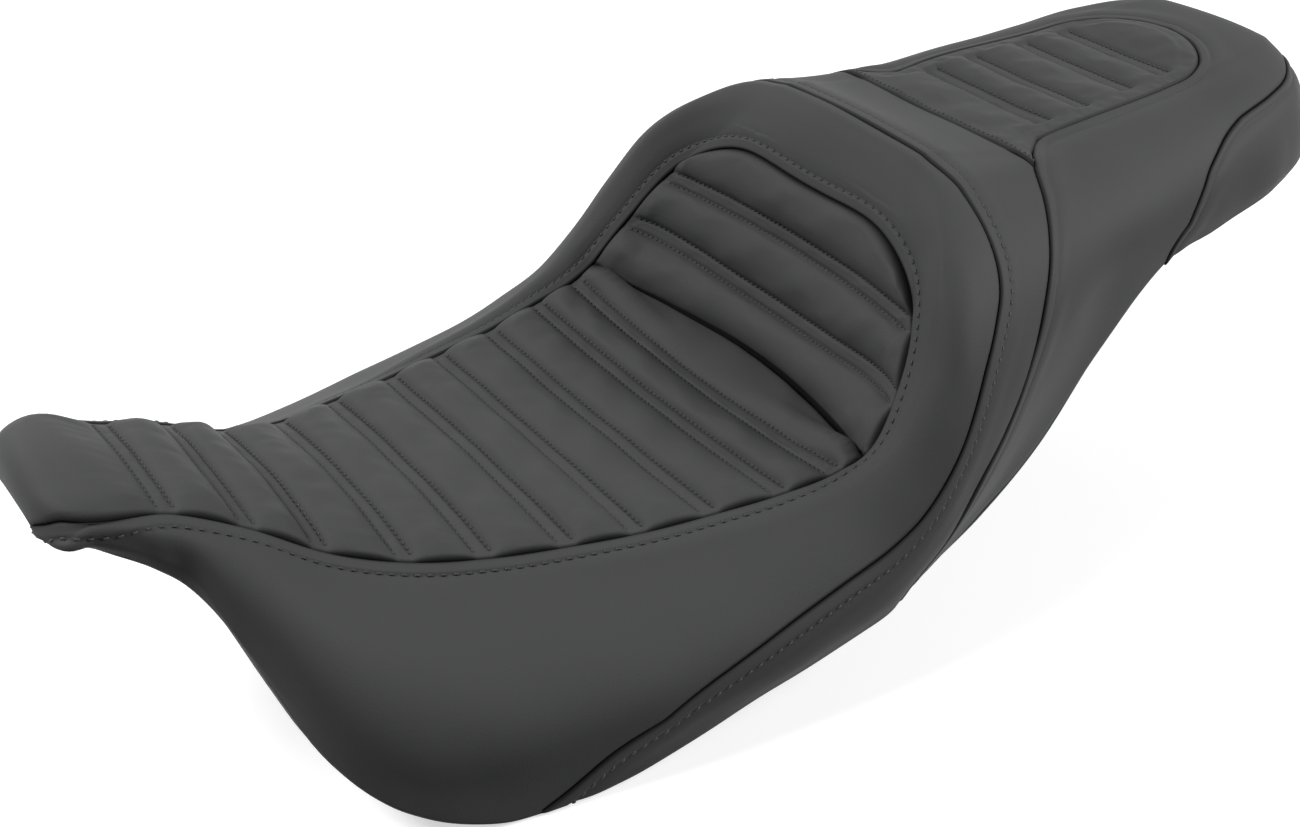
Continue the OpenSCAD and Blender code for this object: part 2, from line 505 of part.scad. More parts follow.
module strap(profile, w) {
    rotate([90, 0, 90]) translate([0, 0, -w / 2]) linear_extrude(w) polygon(profile);
}
module front_tongue() {
    top = driver_ceiling - pan_under;
    low = top - tongue_drop;
    bend = 12;
    tip_y = tongue_bend_y - bend - tongue_reach;
    color("#3c3e41") difference() {
        strap([[tongue_back_y, top], [tongue_bend_y, top], [tongue_bend_y - bend, low], [tip_y, low],
            [tip_y, low - bracket_t], [tongue_bend_y - bend + 1.5, low - bracket_t],
            [tongue_bend_y + 1.5, top - bracket_t], [tongue_back_y, top - bracket_t]], tongue_w);
        translate([0, 0, -pan_wall]) rivet_holes(tongue_rivet_places);
    }
}
module rear_tab() {
    top = passenger_ceiling - pan_under;
    low = top - tab_drop;
    bend = 10;
    color("#3c3e41") difference() {
        union() {
            strap([[tab_front_y, top], [tab_bend_y, top], [tab_bend_y + bend, low],
                [tab_end_y - tab_w / 2, low], [tab_end_y - tab_w / 2, low - bracket_t],
                [tab_bend_y + bend - 1.5, low - bracket_t], [tab_bend_y - 1.5, top - bracket_t],
                [tab_front_y, top - bracket_t]], tab_w);
            translate([0, tab_end_y - tab_w / 2, low - bracket_t]) cylinder(d = tab_w, h = bracket_t);
        }
        translate([0, 0, -pan_wall]) rivet_holes(tab_rivet_places);
        translate([0, tab_end_y - tab_hole_edge, low - 2 * bracket_t])
            cylinder(d = tab_hole_d, h = 3 * bracket_t);
    }
}

// A rivet hangs with its head at z = -under, and its upper head bears on the washer above the pan.
module rivet(under_z) {
    translate([0, 0, -under_z - rivet_head_h]) cylinder(d = rivet_head_d, h = rivet_head_h);
    translate([0, 0, -under_z]) cylinder(d = rivet_d, h = under_z + washer_t + 2 * seat_gap);
    translate([0, 0, washer_t + 2 * seat_gap]) cylinder(d = rivet_head_d - 1, h = rivet_head_h * 0.7);
}
module backing_washer() {
    translate([0, 0, seat_gap]) difference() {
        cylinder(d = washer_d, h = washer_t);
        translate([0, 0, -1]) cylinder(r = rivet_hole_r, h = washer_t + 2);
    }
}
module bracket_rivets() {
    for (p = bracket_places) color("#9a9ea2") translate(p) rivet(bracket_under);
}
module bracket_washers() {
    for (p = bracket_places) color("#8e9296") translate(p) backing_washer();
}

bumper_web = 5;
bumper_recess_d = 18;
module bumper(h) {
    translate([0, 0, -pan_under - h]) difference() {
        cylinder(d = bumper_d, h = h);
        translate([0, 0, -1]) cylinder(d = bumper_recess_d, h = h - bumper_web + 1);
        cylinder(r = rivet_hole_r, h = h + 1);
    }
}
module frame_bumpers() {
    for (p = frame_bumper_places) color("#151516") translate(p) bumper(frame_bumper_h);
}
module fender_bumpers() {
    for (p = fender_bumper_places) color("#151516") translate(p) bumper(fender_bumper_h);
}
bumper_washer_t = 1.2;
bumper_rivet_under = pan_under + bumper_web + bumper_washer_t + 2 * seat_gap;
module bumper_rivets() {
    for (p = bumper_places) color("#9a9ea2") translate(p) rivet(bumper_rivet_under);
}
module bumper_washers() {
    for (p = bumper_places) color("#8e9296") translate(p) {
        backing_washer();
        translate([0, 0, -pan_under - bumper_web - seat_gap - bumper_washer_t]) difference() {
            cylinder(d = bumper_recess_d - 2, h = bumper_washer_t);
            translate([0, 0, -1]) cylinder(r = rivet_hole_r, h = bumper_washer_t + 2);
        }
    }
}

module fender_felt() {
    corner = 8;
    middle_y = (fender_bumper_y[0] + fender_bumper_y[1]) / 2 * length_scale - 10;
    color("#55575a") translate([0, middle_y, passenger_ceiling - pan_under - felt_t])
        linear_extrude(felt_t) union() {
            square([felt_w - 2 * corner, felt_len], center = true);
            square([felt_w, felt_len - 2 * corner], center = true);
            for (x = [-1, 1], y = [-1, 1])
                translate([x * (felt_w / 2 - corner), y * (felt_len / 2 - corner)]) circle(r = corner);
        }
}

// Staples hold the turned hem against the seat pan's inner side.
staple_t = 0.8;
staple_h = 1.4;
staple_first = -300;
staple_last = 150;
module staples() {
    for (i = [0:staple_count-1], side = [-1, 1]) {
        y = staple_first + (staple_last - staple_first) * i / (staple_count - 1);
        step = 4;
        z = guide(hem_z, y) * height_scale + min(hem_turn * 0.6, hem_up(y) - staple_h / 2);
        x = pan_side_x(y, z, -pan_wall) - soft_gap - cover_t - seat_gap;
        ahead = 2 * step * length_scale;
        turn = atan2(pan_half(y + step) - pan_half(y - step), ahead);
        rise = atan2((guide(hem_z, y + step) - guide(hem_z, y - step)) * height_scale, ahead);
        color("#b5b8bb") mirror([side < 0 ? 1 : 0, 0, 0]) translate([x, y * length_scale, z])
            rotate([rise, 0, -turn]) translate([-staple_t, -staple_w / 2, -staple_h / 2])
                cube([staple_t, staple_w, staple_h]);
    }
}

driver_seat_panel();
driver_back_panel();
driver_border_panel();
middle_band_panel();
passenger_top_panel();
passenger_side_panel();
rear_skirt_panel();
cover_hem();
driver_seat_padding();
driver_back_padding();
passenger_padding();
driver_foam();
passenger_foam();
seat_pan();
front_tongue();
rear_tab();
bracket_rivets();
bracket_washers();
frame_bumpers();
fender_bumpers();
bumper_rivets();
bumper_washers();
fender_felt();
staples();
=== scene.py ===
"""Two-up motorcycle seat: a channelled, stitched vinyl cover with its foam, seat pan, brackets and rests.

The cover is worked out from one outer surface. A point of it has a station y along the seat and a place v
across it, from -1 at the right hem through 0 at the middle to 1 at the left hem. Sizes are in millimetres
until a piece's mesh is written in metres.
"""
import math

import bpy
import numpy as np
from bpy.props import FloatProperty, FloatVectorProperty, PointerProperty
from bpy.types import Operator, Panel, PropertyGroup
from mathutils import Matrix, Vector


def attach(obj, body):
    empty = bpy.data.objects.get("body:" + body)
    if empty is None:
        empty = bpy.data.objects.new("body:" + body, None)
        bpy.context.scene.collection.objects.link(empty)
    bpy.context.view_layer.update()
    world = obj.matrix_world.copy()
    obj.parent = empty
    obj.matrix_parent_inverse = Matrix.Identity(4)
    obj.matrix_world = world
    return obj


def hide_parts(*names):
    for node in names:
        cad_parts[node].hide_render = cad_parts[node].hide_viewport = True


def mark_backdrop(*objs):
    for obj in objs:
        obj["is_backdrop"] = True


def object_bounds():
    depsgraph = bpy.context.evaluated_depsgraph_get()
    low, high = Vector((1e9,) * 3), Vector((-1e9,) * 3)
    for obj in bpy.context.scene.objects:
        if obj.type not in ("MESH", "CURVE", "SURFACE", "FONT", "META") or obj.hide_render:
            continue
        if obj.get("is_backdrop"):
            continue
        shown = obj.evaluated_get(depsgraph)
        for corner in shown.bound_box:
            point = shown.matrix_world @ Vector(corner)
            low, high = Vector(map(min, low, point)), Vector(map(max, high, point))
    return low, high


bl_info = {
    "name": "Two-up motorcycle seat",
    "version": (1, 0, 0),
    "blender": (4, 5, 0),
    "location": "View3D > Sidebar > Seat",
    "description": "Builds the cover, stitching, foam and fittings of a two-up motorcycle seat",
    "category": "Object",
}

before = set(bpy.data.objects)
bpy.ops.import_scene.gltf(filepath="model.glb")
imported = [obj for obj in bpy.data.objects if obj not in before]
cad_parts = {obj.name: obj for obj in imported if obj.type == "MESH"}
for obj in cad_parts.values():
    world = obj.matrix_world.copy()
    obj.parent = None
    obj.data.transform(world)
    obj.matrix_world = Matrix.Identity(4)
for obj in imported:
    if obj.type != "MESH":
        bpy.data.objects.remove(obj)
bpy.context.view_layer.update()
MM = 0.001

# ---------------------------------------------------------------- outer surface
# Guide lines: (station, value) pairs. They run along the middle, the insert's edge, the rim, the widest
# line and the hem.
CROWN_Z = [(-427, 166), (-423, 174), (-405, 178), (-385, 172), (-365, 163), (-335, 149), (-300, 131),
           (-265, 117), (-225, 109), (-185, 104), (-105, 98), (-50, 99), (6, 101), (11, 101), (16, 111),
           (25, 131), (35, 170), (41, 200), (46, 218), (54, 233), (66, 242), (80, 241), (115, 232),
           (150, 226), (185, 229), (280, 233), (330, 239), (365, 242), (385, 234), (398, 216), (405, 186)]
EDGE_X = [(-427, 28), (-423, 35), (-415, 44), (-365, 48), (-335, 56), (-300, 67), (-265, 78), (-225, 91),
          (-185, 101), (-145, 111), (-105, 119), (-70, 127), (-35, 133), (-15, 136), (3, 131), (24, 117),
          (38, 98), (46, 80), (60, 66), (90, 62), (180, 64), (280, 58), (330, 54), (370, 44), (395, 26),
          (402, 14), (405, 0)]
EDGE_Z = [(-427, 165), (-423, 168), (-415, 172), (-365, 159), (-335, 144), (-300, 122), (-265, 109),
          (-225, 103), (-185, 100), (-145, 99), (-105, 100), (-70, 103), (-35, 108), (-20, 114), (3, 140),
          (24, 171), (38, 195), (46, 214), (56, 230), (68, 239), (82, 238), (115, 231), (150, 227),
          (185, 230), (280, 233), (330, 238), (365, 240), (385, 232), (398, 214), (405, 186)]
RIM_X = [(-427, 30), (-423, 41), (-405, 51), (-365, 55), (-335, 63), (-300, 76), (-265, 87), (-225, 102),
         (-185, 115), (-145, 128), (-105, 139), (-70, 148), (-35, 155), (-15, 158), (10, 151), (25, 137),
         (38, 122), (52, 108), (70, 98), (90, 93), (150, 88), (230, 84), (280, 82), (330, 77), (365, 63),
         (390, 40), (401, 20), (405, 0)]
RIM_Z = [(-427, 164), (-423, 164), (-405, 169), (-365, 156), (-335, 141), (-300, 117), (-265, 104),
         (-225, 98), (-185, 95), (-145, 95), (-105, 97), (-70, 102), (-35, 115), (-15, 131), (10, 166),
         (25, 194), (38, 212), (52, 224), (70, 229), (90, 228), (150, 224), (230, 226), (280, 228),
         (330, 232), (365, 234), (390, 218), (405, 184)]
WIDE_X = [(-427, 31), (-423, 43), (-405, 53), (-380, 58), (-365, 64), (-354, 82), (-335, 114), (-301, 146),
          (-265, 163), (-225, 173), (-185, 180), (-145, 184), (-105, 187), (-70, 188), (-35, 187), (0, 182),
          (40, 172), (80, 158), (120, 144), (160, 132), (230, 121), (280, 115), (330, 108), (365, 93),
          (390, 66), (399, 44), (403, 24), (405, 0)]
WIDE_Z = [(-427, 163), (-423, 162), (-405, 162), (-380, 147), (-365, 131), (-354, 100), (-335, 64),
          (-301, 36), (-265, 32), (-225, 34), (-185, 38), (-105, 48), (-70, 58), (-35, 68), (0, 86),
          (40, 114), (80, 140), (120, 158), (160, 170), (230, 176), (330, 182), (380, 184), (405, 180)]
HEM_X = [(-427, 29), (-423, 38), (-405, 48), (-380, 54), (-365, 61), (-357, 74), (-345, 96), (-336, 112),
         (-326, 126), (-314, 139), (-298, 151), (-274, 163), (-255, 168), (-225, 172), (-185, 175),
         (-105, 177), (-48, 176), (-28, 175), (-10, 169), (10, 162), (57, 151), (110, 141), (160, 131),
         (223, 120), (280, 111), (330, 103), (365, 86), (390, 58), (398, 38), (403, 18), (405, 0)]
HEM_Z = [(-427, 161), (-415, 160), (-395, 148), (-380, 136), (-369, 125), (-357, 106), (-345, 72),
         (-336, 48), (-326, 32), (-314, 20), (-298, 11), (-274, 4), (-255, 1), (-220, 1), (-170, 8),
         (-127, 18), (-88, 25), (-48, 32), (-28, 37), (-10, 41), (10, 42), (57, 52), (110, 78), (160, 119),
         (195, 143), (223, 156), (265, 159), (330, 167), (405, 171)]
# How hollow the back is: (station, curvature of the crown in plan).
HOLLOW = [(-20, 0.0017), (3, 0.0014), (25, 0.0013), (35, 0.0008), (46, 0)]
NOSE_Y, TAIL_Y, CREASE_Y = -427.0, 405.0, 11.0
AT_EDGE, AT_RIM, AT_WIDE = 0.4, 0.55, 0.8
ARCH_FOOT, ARCH_RISE = 26.0, 16.0
PASSENGER_FRONT, PASSENGER_END, PASSENGER_ROUND, TAIL_TURN = 135.0, 333.0, 50.0, 334.0


def guide(knots, at):
    """A cubic through the knots. Its slope at a knot is 0 at a peak or flat, and else the mean of both
    sides' slopes, each weighted with the other side's length."""
    knots = np.asarray(knots, float)
    x, f = knots[:, 0], knots[:, 1]
    h = np.diff(x)
    d = np.diff(f) / h
    inner = (d[:-1] * h[1:] + d[1:] * h[:-1]) / (h[:-1] + h[1:])
    slope = np.concatenate([d[:1], np.where(d[:-1] * d[1:] <= 0, 0, inner), d[-1:]])
    at = np.clip(at, x[0], x[-1])
    i = np.clip(np.searchsorted(x, at, side="right") - 1, 0, len(h) - 1)
    t = (at - x[i]) / h[i]
    s = 1 - t
    return (f[i] * (1 + 2 * t) * s * s + f[i + 1] * t * t * (3 - 2 * t)
            + h[i] * (slope[i] * t * s * s - slope[i + 1] * t * t * s))


def unit(a):
    """Each vector divided by its length."""
    return a / np.maximum(np.linalg.norm(a, axis=-1, keepdims=True), 1e-9)


def smooth(a, low=0.0, high=1.0):
    """0 below low, 1 above high, and 3t^2 - 2t^3 between them."""
    t = np.clip((np.asarray(a, float) - low) / (high - low), 0, 1)
    return t * t * (3 - 2 * t)


def insert_height(y, t):
    """Height across an insert: the crown's height, read further back towards the sides in the hollow back,
    plus the rest of the way to the insert's edge times a power of t."""
    hollow = np.interp(y, *np.transpose(HOLLOW))
    power = np.interp(y, [-20, 5], [2, 4])
    edge_x, edge_z, crown = guide(EDGE_X, y), guide(EDGE_Z, y), guide(CROWN_Z, y)

    def read_back(x):
        q = y + hollow * x * x
        return np.where(q > CREASE_Y, guide(CROWN_Z, q), crown)

    in_back = (y > -20) & (y < 46)
    plain = crown + (edge_z - crown) * t * t
    hollowed = read_back(t * edge_x) + (edge_z - read_back(edge_x)) * t**power
    return np.where(in_back, hollowed, plain)


def blend(a, b, da, db, s):
    """A cubic from a to b that leaves along da and arrives along db, each 1.1 times the chord long."""
    s = s[..., None]
    reach = np.linalg.norm(b - a, axis=-1, keepdims=True) * 1.1
    return (a * (1 + 2 * s) * (1 - s) ** 2 + b * s * s * (3 - 2 * s)
            + reach * (da * s * (1 - s) ** 2 - db * s * s * (1 - s)))


def skin(y, v):
    """Point of the outer surface: the insert's curve up to v = 0.4, then three cubics over the rim and the
    widest line to the hem."""
    y, v = np.broadcast_arrays(np.asarray(y, float), np.asarray(v, float))
    a = np.abs(v)
    edge, rim, wide, hem = [np.stack([guide(x, y), guide(z, y)], -1) for x, z in
                            ((EDGE_X, EDGE_Z), (RIM_X, RIM_Z), (WIDE_X, WIDE_Z), (HEM_X, HEM_Z))]
    over_rim, down = np.array([0.888, -0.46]), np.array([0.0, -1.0])
    t = np.clip(a / AT_EDGE, 0, 1)
    top = np.stack([t * edge[..., 0], insert_height(y, t)], -1)

    def share(low, high):
        return np.clip((a - low) / (high - low), 0, 1)

    to_rim = blend(edge, rim, unit(rim - edge), over_rim, share(AT_EDGE, AT_RIM))
    to_wide = blend(rim, wide, over_rim, down, share(AT_RIM, AT_WIDE))
    to_hem = blend(wide, hem, down, unit(hem - wide), share(AT_WIDE, 1))
    part = np.digitize(a, [AT_EDGE, AT_RIM, AT_WIDE])[..., None]
    p = np.choose(part, [top, to_rim, to_wide, to_hem])
    return np.stack([np.where(v < 0, -1, 1) * p[..., 0], y, p[..., 1]], -1)


def skin_normal(y, v):
    """Outward normal of the outer surface, from differences along y and v."""
    y, v = np.broadcast_arrays(np.asarray(y, float), np.asarray(v, float))
    y0, y1 = np.maximum(y - 0.6, NOSE_Y), np.minimum(y + 0.6, TAIL_Y - 0.2)
    v0, v1 = np.maximum(v - 0.012, -1), np.minimum(v + 0.012, 1)
    return unit(np.cross(skin(y, v1) - skin(y, v0), skin(y1, v) - skin(y0, v)))


# ---------------------------------------------------------------- seams
# Seams of the left side, as (station, place): each ends at the middle or at a corner that panels share.
BOLSTER_SEAM = [(-248, 1), (-231, 0.95), (-206, 0.85), (-175, 0.795), (-140, 0.76), (-100, 0.73),
                (-58, 0.713), (-20, 0.71), (10, 0.7), (32, 0.688), (50, 0.675), (62, 0.655), (69, 0.61),
                (73, 0.53), (73, 0.4), (72, 0.2), (72, 0)]
RIDER_EDGE = [(-225, 0.4), (-190, 0.4), (-160, 0.4), (-130, 0.4), (-100, 0.4), (-75, 0.4), (-50, 0.4),
              (-28, 0.4), (-8, 0.4), (8, 0.4), (20, 0.4), (29, 0.395), (36, 0.37), (40, 0.31), (41, 0.22),
              (42, 0.11), (42, 0)]
NOSE_STATIONS = [-427, -423, -415, -405, -390, -374, -358, -342, -326, -308, -290, -270, -248]
HEM_STATIONS = [-427, -423, -415, -405, -390, -376, -363, -350, -338, -324, -309, -292, -271]
BAND_SIDE = [(-24, 1), (-11, 0.91), (10, 0.86), (30, 0.82), (51, 0.8), (64, 0.785), (83, 0.75), (95, 0.72),
             (105, 0.69), (113, 0.66), (120, 0.63), (126, 0.6), (131, 0.567), (135, 0.54)]
SKIRT_SEAM = [(218, 1), (220, 0.94), (224, 0.88), (229, 0.83), (235, 0.79), (241, 0.76), (248, 0.73),
              (255, 0.7), (262, 0.68), (270, 0.66), (278, 0.642), (287, 0.627), (292, 0.62), (297, 0.613),
              (308, 0.607), (320, 0.603), (334, 0.6), (346, 0.597), (357, 0.59), (368, 0.575),
              (379, 0.545), (386, 0.46), (391, 0.27), (392.5, 0)]
SKIRT_HEM = [221, 228, 236, 244, 252, 261, 270, 279, 288, 298, 303, 308, 318, 328, 338, 347, 356, 365, 373,
             381, 389, 396, 402, 404.8]
OUTLINE = [(135, 0.54), (144, 0.468), (160, 0.395), (185, 0.39), (215, 0.39), (250, 0.39), (283, 0.39),
           (306, 0.345), (320, 0.26), (329, 0.15), (333, 0)]


def along(knots, at):
    """A curve through the knots' (station, place) pairs, read at a place in the list."""
    knots = np.asarray(knots, float)
    index = np.arange(len(knots))
    return np.stack([guide(np.stack([index, knots[:, k]], 1), at) for k in (0, 1)], -1)


def arch_at(v):
    """Station of the arch over the back insert: a foot and a rise times sqrt(1 - (v / 0.4)^6)."""
    return ARCH_FOOT + ARCH_RISE * np.sqrt(np.maximum(0, 1 - (np.abs(v) / AT_EDGE) ** 6))


def crease_at(v):
    """Station of the crease in front of the back insert, where the hollowed crown starts to rise."""
    s = np.abs(v) / AT_EDGE
    y = CREASE_Y - 0.0014 * (s * guide(EDGE_X, 3.0)) ** 2
    for _ in range(2):
        y = CREASE_Y - np.interp(y, *np.transpose(HOLLOW)) * (s * guide(EDGE_X, y)) ** 2
    return y


def height_line(v, height):
    """Stations at which the back insert reaches a height, one for each place v."""
    y = np.linspace(-22, 42, 400)[:, None] * np.ones_like(v)
    z = skin(y, v)[..., 2]
    k = np.clip((z < height).sum(0), 1, len(y) - 1)
    column = np.arange(len(v))
    z0, z1 = z[k - 1, column], z[k, column]
    share = np.clip((height - z0) / np.maximum(z1 - z0, 1e-6), 0, 1)
    return y[k - 1, column] + share * (y[k, column] - y[k - 1, column])


def outline_half(y):
    """Half width, as a place, of the passenger insert: its sides, and half an ellipse at its rear end."""
    t = np.clip((y - PASSENGER_END + PASSENGER_ROUND) / PASSENGER_ROUND, 0, 1)
    sides = np.interp(y, *np.transpose(OUTLINE[:5]))
    return np.where(t > 0, 0.39 * np.sqrt(1 - t * t), sides)


def dense_ends(n, k=0.8):
    """n + 1 places from 0 to 1 that crowd at both ends: u - k sin(2 pi u) / (2 pi)."""
    u = np.linspace(0, 1, n + 1)
    return u - k * np.sin(2 * np.pi * u) / (2 * np.pi)


# ---------------------------------------------------------------- meshes
def write_mesh(name, points, quads, material):
    """A smooth-shaded mesh from points in millimetres and quads, riding on the seat."""
    mesh = bpy.data.meshes.new(name)
    quads = np.asarray(quads, np.int32)
    mesh.vertices.add(len(points))
    mesh.vertices.foreach_set("co", (np.asarray(points, float) * MM).astype(np.float32).ravel())
    mesh.loops.add(quads.size)
    mesh.loops.foreach_set("vertex_index", quads.ravel())
    mesh.polygons.add(len(quads))
    mesh.polygons.foreach_set("loop_start", np.arange(0, quads.size, 4, dtype=np.int32))
    mesh.polygons.foreach_set("loop_total", np.full(len(quads), 4, np.int32))
    mesh.polygons.foreach_set("use_smooth", np.ones(len(quads), bool))
    mesh.update(calc_edges=True)
    piece = bpy.data.objects.new(name, mesh)
    bpy.context.scene.collection.objects.link(piece)
    mesh.materials.append(material)
    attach(piece, "root")
    return piece


def grid_quads(n, m, start=0, flip=False):
    """Quads of an n by m grid of points whose normal is the second direction times the first."""
    i, j = np.meshgrid(np.arange(n - 1), np.arange(m - 1), indexing="ij")
    a = (start + i * m + j).ravel()
    quads = np.stack([a, a + 1, a + m + 1, a + m], 1)
    return quads[:, ::-1] if flip else quads


def shell_quads(n, m):
    """Quads of a closed sheet: an outer n by m grid, an inner one, and the rim that joins their edges."""
    loop = np.concatenate([np.arange(m), np.arange(1, n) * m + m - 1,
                           (n - 1) * m + np.arange(m - 2, -1, -1), np.arange(n - 2, 0, -1) * m])
    after = np.roll(loop, -1)
    rim = np.stack([loop, loop + n * m, after + n * m, after], 1)
    return np.concatenate([grid_quads(n, m), grid_quads(n, m, n * m, flip=True), rim])


def grid_normals(p):
    """Normals of a grid of points, from its differences along both directions."""
    return unit(np.cross(np.gradient(p, axis=1), np.gradient(p, axis=0)))


def two_faced_piece(name, outer, inner, material):
    """A closed piece between an outer grid and an inner one."""
    n, m = outer.shape[:2]
    points = np.concatenate([outer.reshape(-1, 3), inner.reshape(-1, 3)])
    return write_mesh(name, points, shell_quads(n, m), material)


def seam_distance(p, border, reach=44):
    """Distance of a grid's points from one of its borders: the least one to those of the border's segments
    that start up to reach rows away from the point's own row."""
    rows = border in ("front", "rear")
    q = p.swapaxes(0, 1) if rows else p
    edge = q[:, -1] if border in ("rear", "last") else q[:, 0]
    n = len(edge)
    own = np.arange(n)
    least = np.full(q.shape[:2], 1e9)
    for away in range(-reach, reach + 1):
        k = np.clip(own + away, 0, n - 2)
        start, run = edge[k][:, None], (edge[k + 1] - edge[k])[:, None]
        share = ((q - start) * run).sum(-1) / np.maximum((run * run).sum(-1), 1e-9)
        way = q - start - np.clip(share, 0, 1)[..., None] * run
        least = np.minimum(least, (way * way).sum(-1))
    d = np.sqrt(least)
    return d.T if rows else d


def rolled(d, radius):
    """How far the cover turns down at a seam: a quarter of a circle of that radius."""
    u = np.clip(1 - d / radius, 0, 1)
    return radius * (1 - np.sqrt(1 - u * u))


def dip(d, at, width):
    """A soft groove: exp(-((d - at) / width)^2)."""
    return np.exp(-(((d - at) / width) ** 2))


def tucked(p, normal, front, rear, side):
    """The grid with one more row or column below each border: the seam allowance, of these depths."""
    def grow(q, n, first, last):
        return np.concatenate([q[:1] - first * n[:1], q, q[-1:] - last * n[-1:]])

    q, n = grow(p, normal, front, rear), np.concatenate([normal[:1], normal, normal[-1:]])
    q = grow(q.swapaxes(0, 1), n.swapaxes(0, 1), side, side)
    return q.swapaxes(0, 1)


def line_at(p, d, value):
    """The points of each row of the grid p where the distance d first reaches value."""
    i = np.clip((d < value).sum(1) - 1, 0, d.shape[1] - 2)
    row = np.arange(len(p))
    d0, d1 = d[row, i], d[row, i + 1]
    t = np.clip((value - d0) / np.maximum(d1 - d0, 1e-6), 0, 1)[:, None]
    return p[row, i] * (1 - t) + p[row, i + 1] * t


def column_lengths(p):
    """Length along each column of a grid, from its first row."""
    step = np.linalg.norm(np.diff(p, axis=0), axis=-1)
    return np.concatenate([np.zeros((1, p.shape[1])), np.cumsum(step, axis=0)])


# ---------------------------------------------------------------- padded inserts
# In millimetres: the vinyl's thickness, the depth of its seam allowance, that of dish and back in the
# crease, how far the dish dives there, and how far from an insert's sides a roll comes down. Then how much
# painted shade a stitch row puts on the vinyl's colour.
VINYL, TUCK, DISH_TUCK, BACK_TUCK = 0.9, 3.2, 8.0, 12.0
CREASE_DIVE, ROLL_END, CHANNEL_PAINTED_SHADE = 6.5, 13.0, 0.32
# A shorter run than this between two stitch rows makes a lower roll; then the width of a row's groove, and
# the size of the swell over the rider's inserts.
FULL_ROLL, ROW_WIDTH, INSERT_SWELL = 22.0, 1.5, 0.9
DISH_CHANNELS = [-369, -334, -303, -264, -226, -184, -147, -107, -68, -36]
PASSENGER_CHANNELS = [178, 210, 250, 284]


def channelled_grid(lines, places, rows, ends=0.55):
    """Stations and places of an insert: rows between each pair of channel lines, crowded beside them."""
    lines = np.asarray(lines, float)
    t = dense_ends(rows, ends)[:-1, None]
    y = np.concatenate([lines[k] + (lines[k + 1] - lines[k]) * t for k in range(len(lines) - 1)]
                       + [lines[-1:]])
    return y, places * np.ones_like(y)


def rolls(p, count, rows, crest, groove, strip):
    """Heights of the padded rolls over an insert's grid, and the columns' lengths at each stitch row.

    Between two stitch rows a roll is (4u(1 - u))^0.7 times its crest. A flat strip as wide as the sewing
    foot lies between the two rows of a channel, and a soft groove along each row. Towards the insert's
    sides each roll comes down as a quarter of an ellipse.
    """
    s = column_lengths(p)
    height = np.zeros_like(s)
    stitched = []
    side = np.minimum(seam_distance(p, "first"), seam_distance(p, "last"))
    ends = np.sqrt(1 - (1 - np.clip(side / ROLL_END, 0, 1)) ** 2)
    for k in range(count):
        a, b = k * rows, (k + 1) * rows
        front = 0 if k == 0 else strip / 2
        rear = 0 if k == count - 1 else strip / 2
        run = s[a:b + 1] - s[a]
        whole = run[-1]
        u = np.clip((run - front) / np.maximum(whole - front - rear, 1e-3), 0, 1)
        full = np.minimum(1, np.maximum(whole - front - rear, 0) / FULL_ROLL)
        height[a:b + 1] += crest * full * (4 * u * (1 - u)) ** 0.7
        if k < count - 1:
            stitched += [s[b] - strip / 2, s[b] + strip / 2]
    fade = smooth(side, ROLL_END * 0.25, ROLL_END * 0.6)
    grooves = sum(dip(s, row, ROW_WIDTH) for row in stitched)
    flat = sum(np.exp(-(((s - (stitched[k] + stitched[k + 1]) / 2) / (strip * 0.36)) ** 4))
               for k in range(0, len(stitched), 2))
    return height * ends - groove * grooves * fade + 0.5 * flat * fade, s, stitched, side


def row_points(p, s, at, side, gap):
    """The points of each column where its length reaches a stitch row, short of the insert's sides."""
    q, length = p.swapaxes(0, 1), s.T
    i = np.clip((length < at[:, None]).sum(1) - 1, 0, length.shape[1] - 2)
    column = np.arange(len(q))
    t = ((at - length[column, i]) / np.maximum(length[column, i + 1] - length[column, i], 1e-6))
    t = np.clip(t, 0, 1)[:, None]
    line = q[column, i] * (1 - t) + q[column, i + 1] * t
    return line[side.T[column, i] > gap]


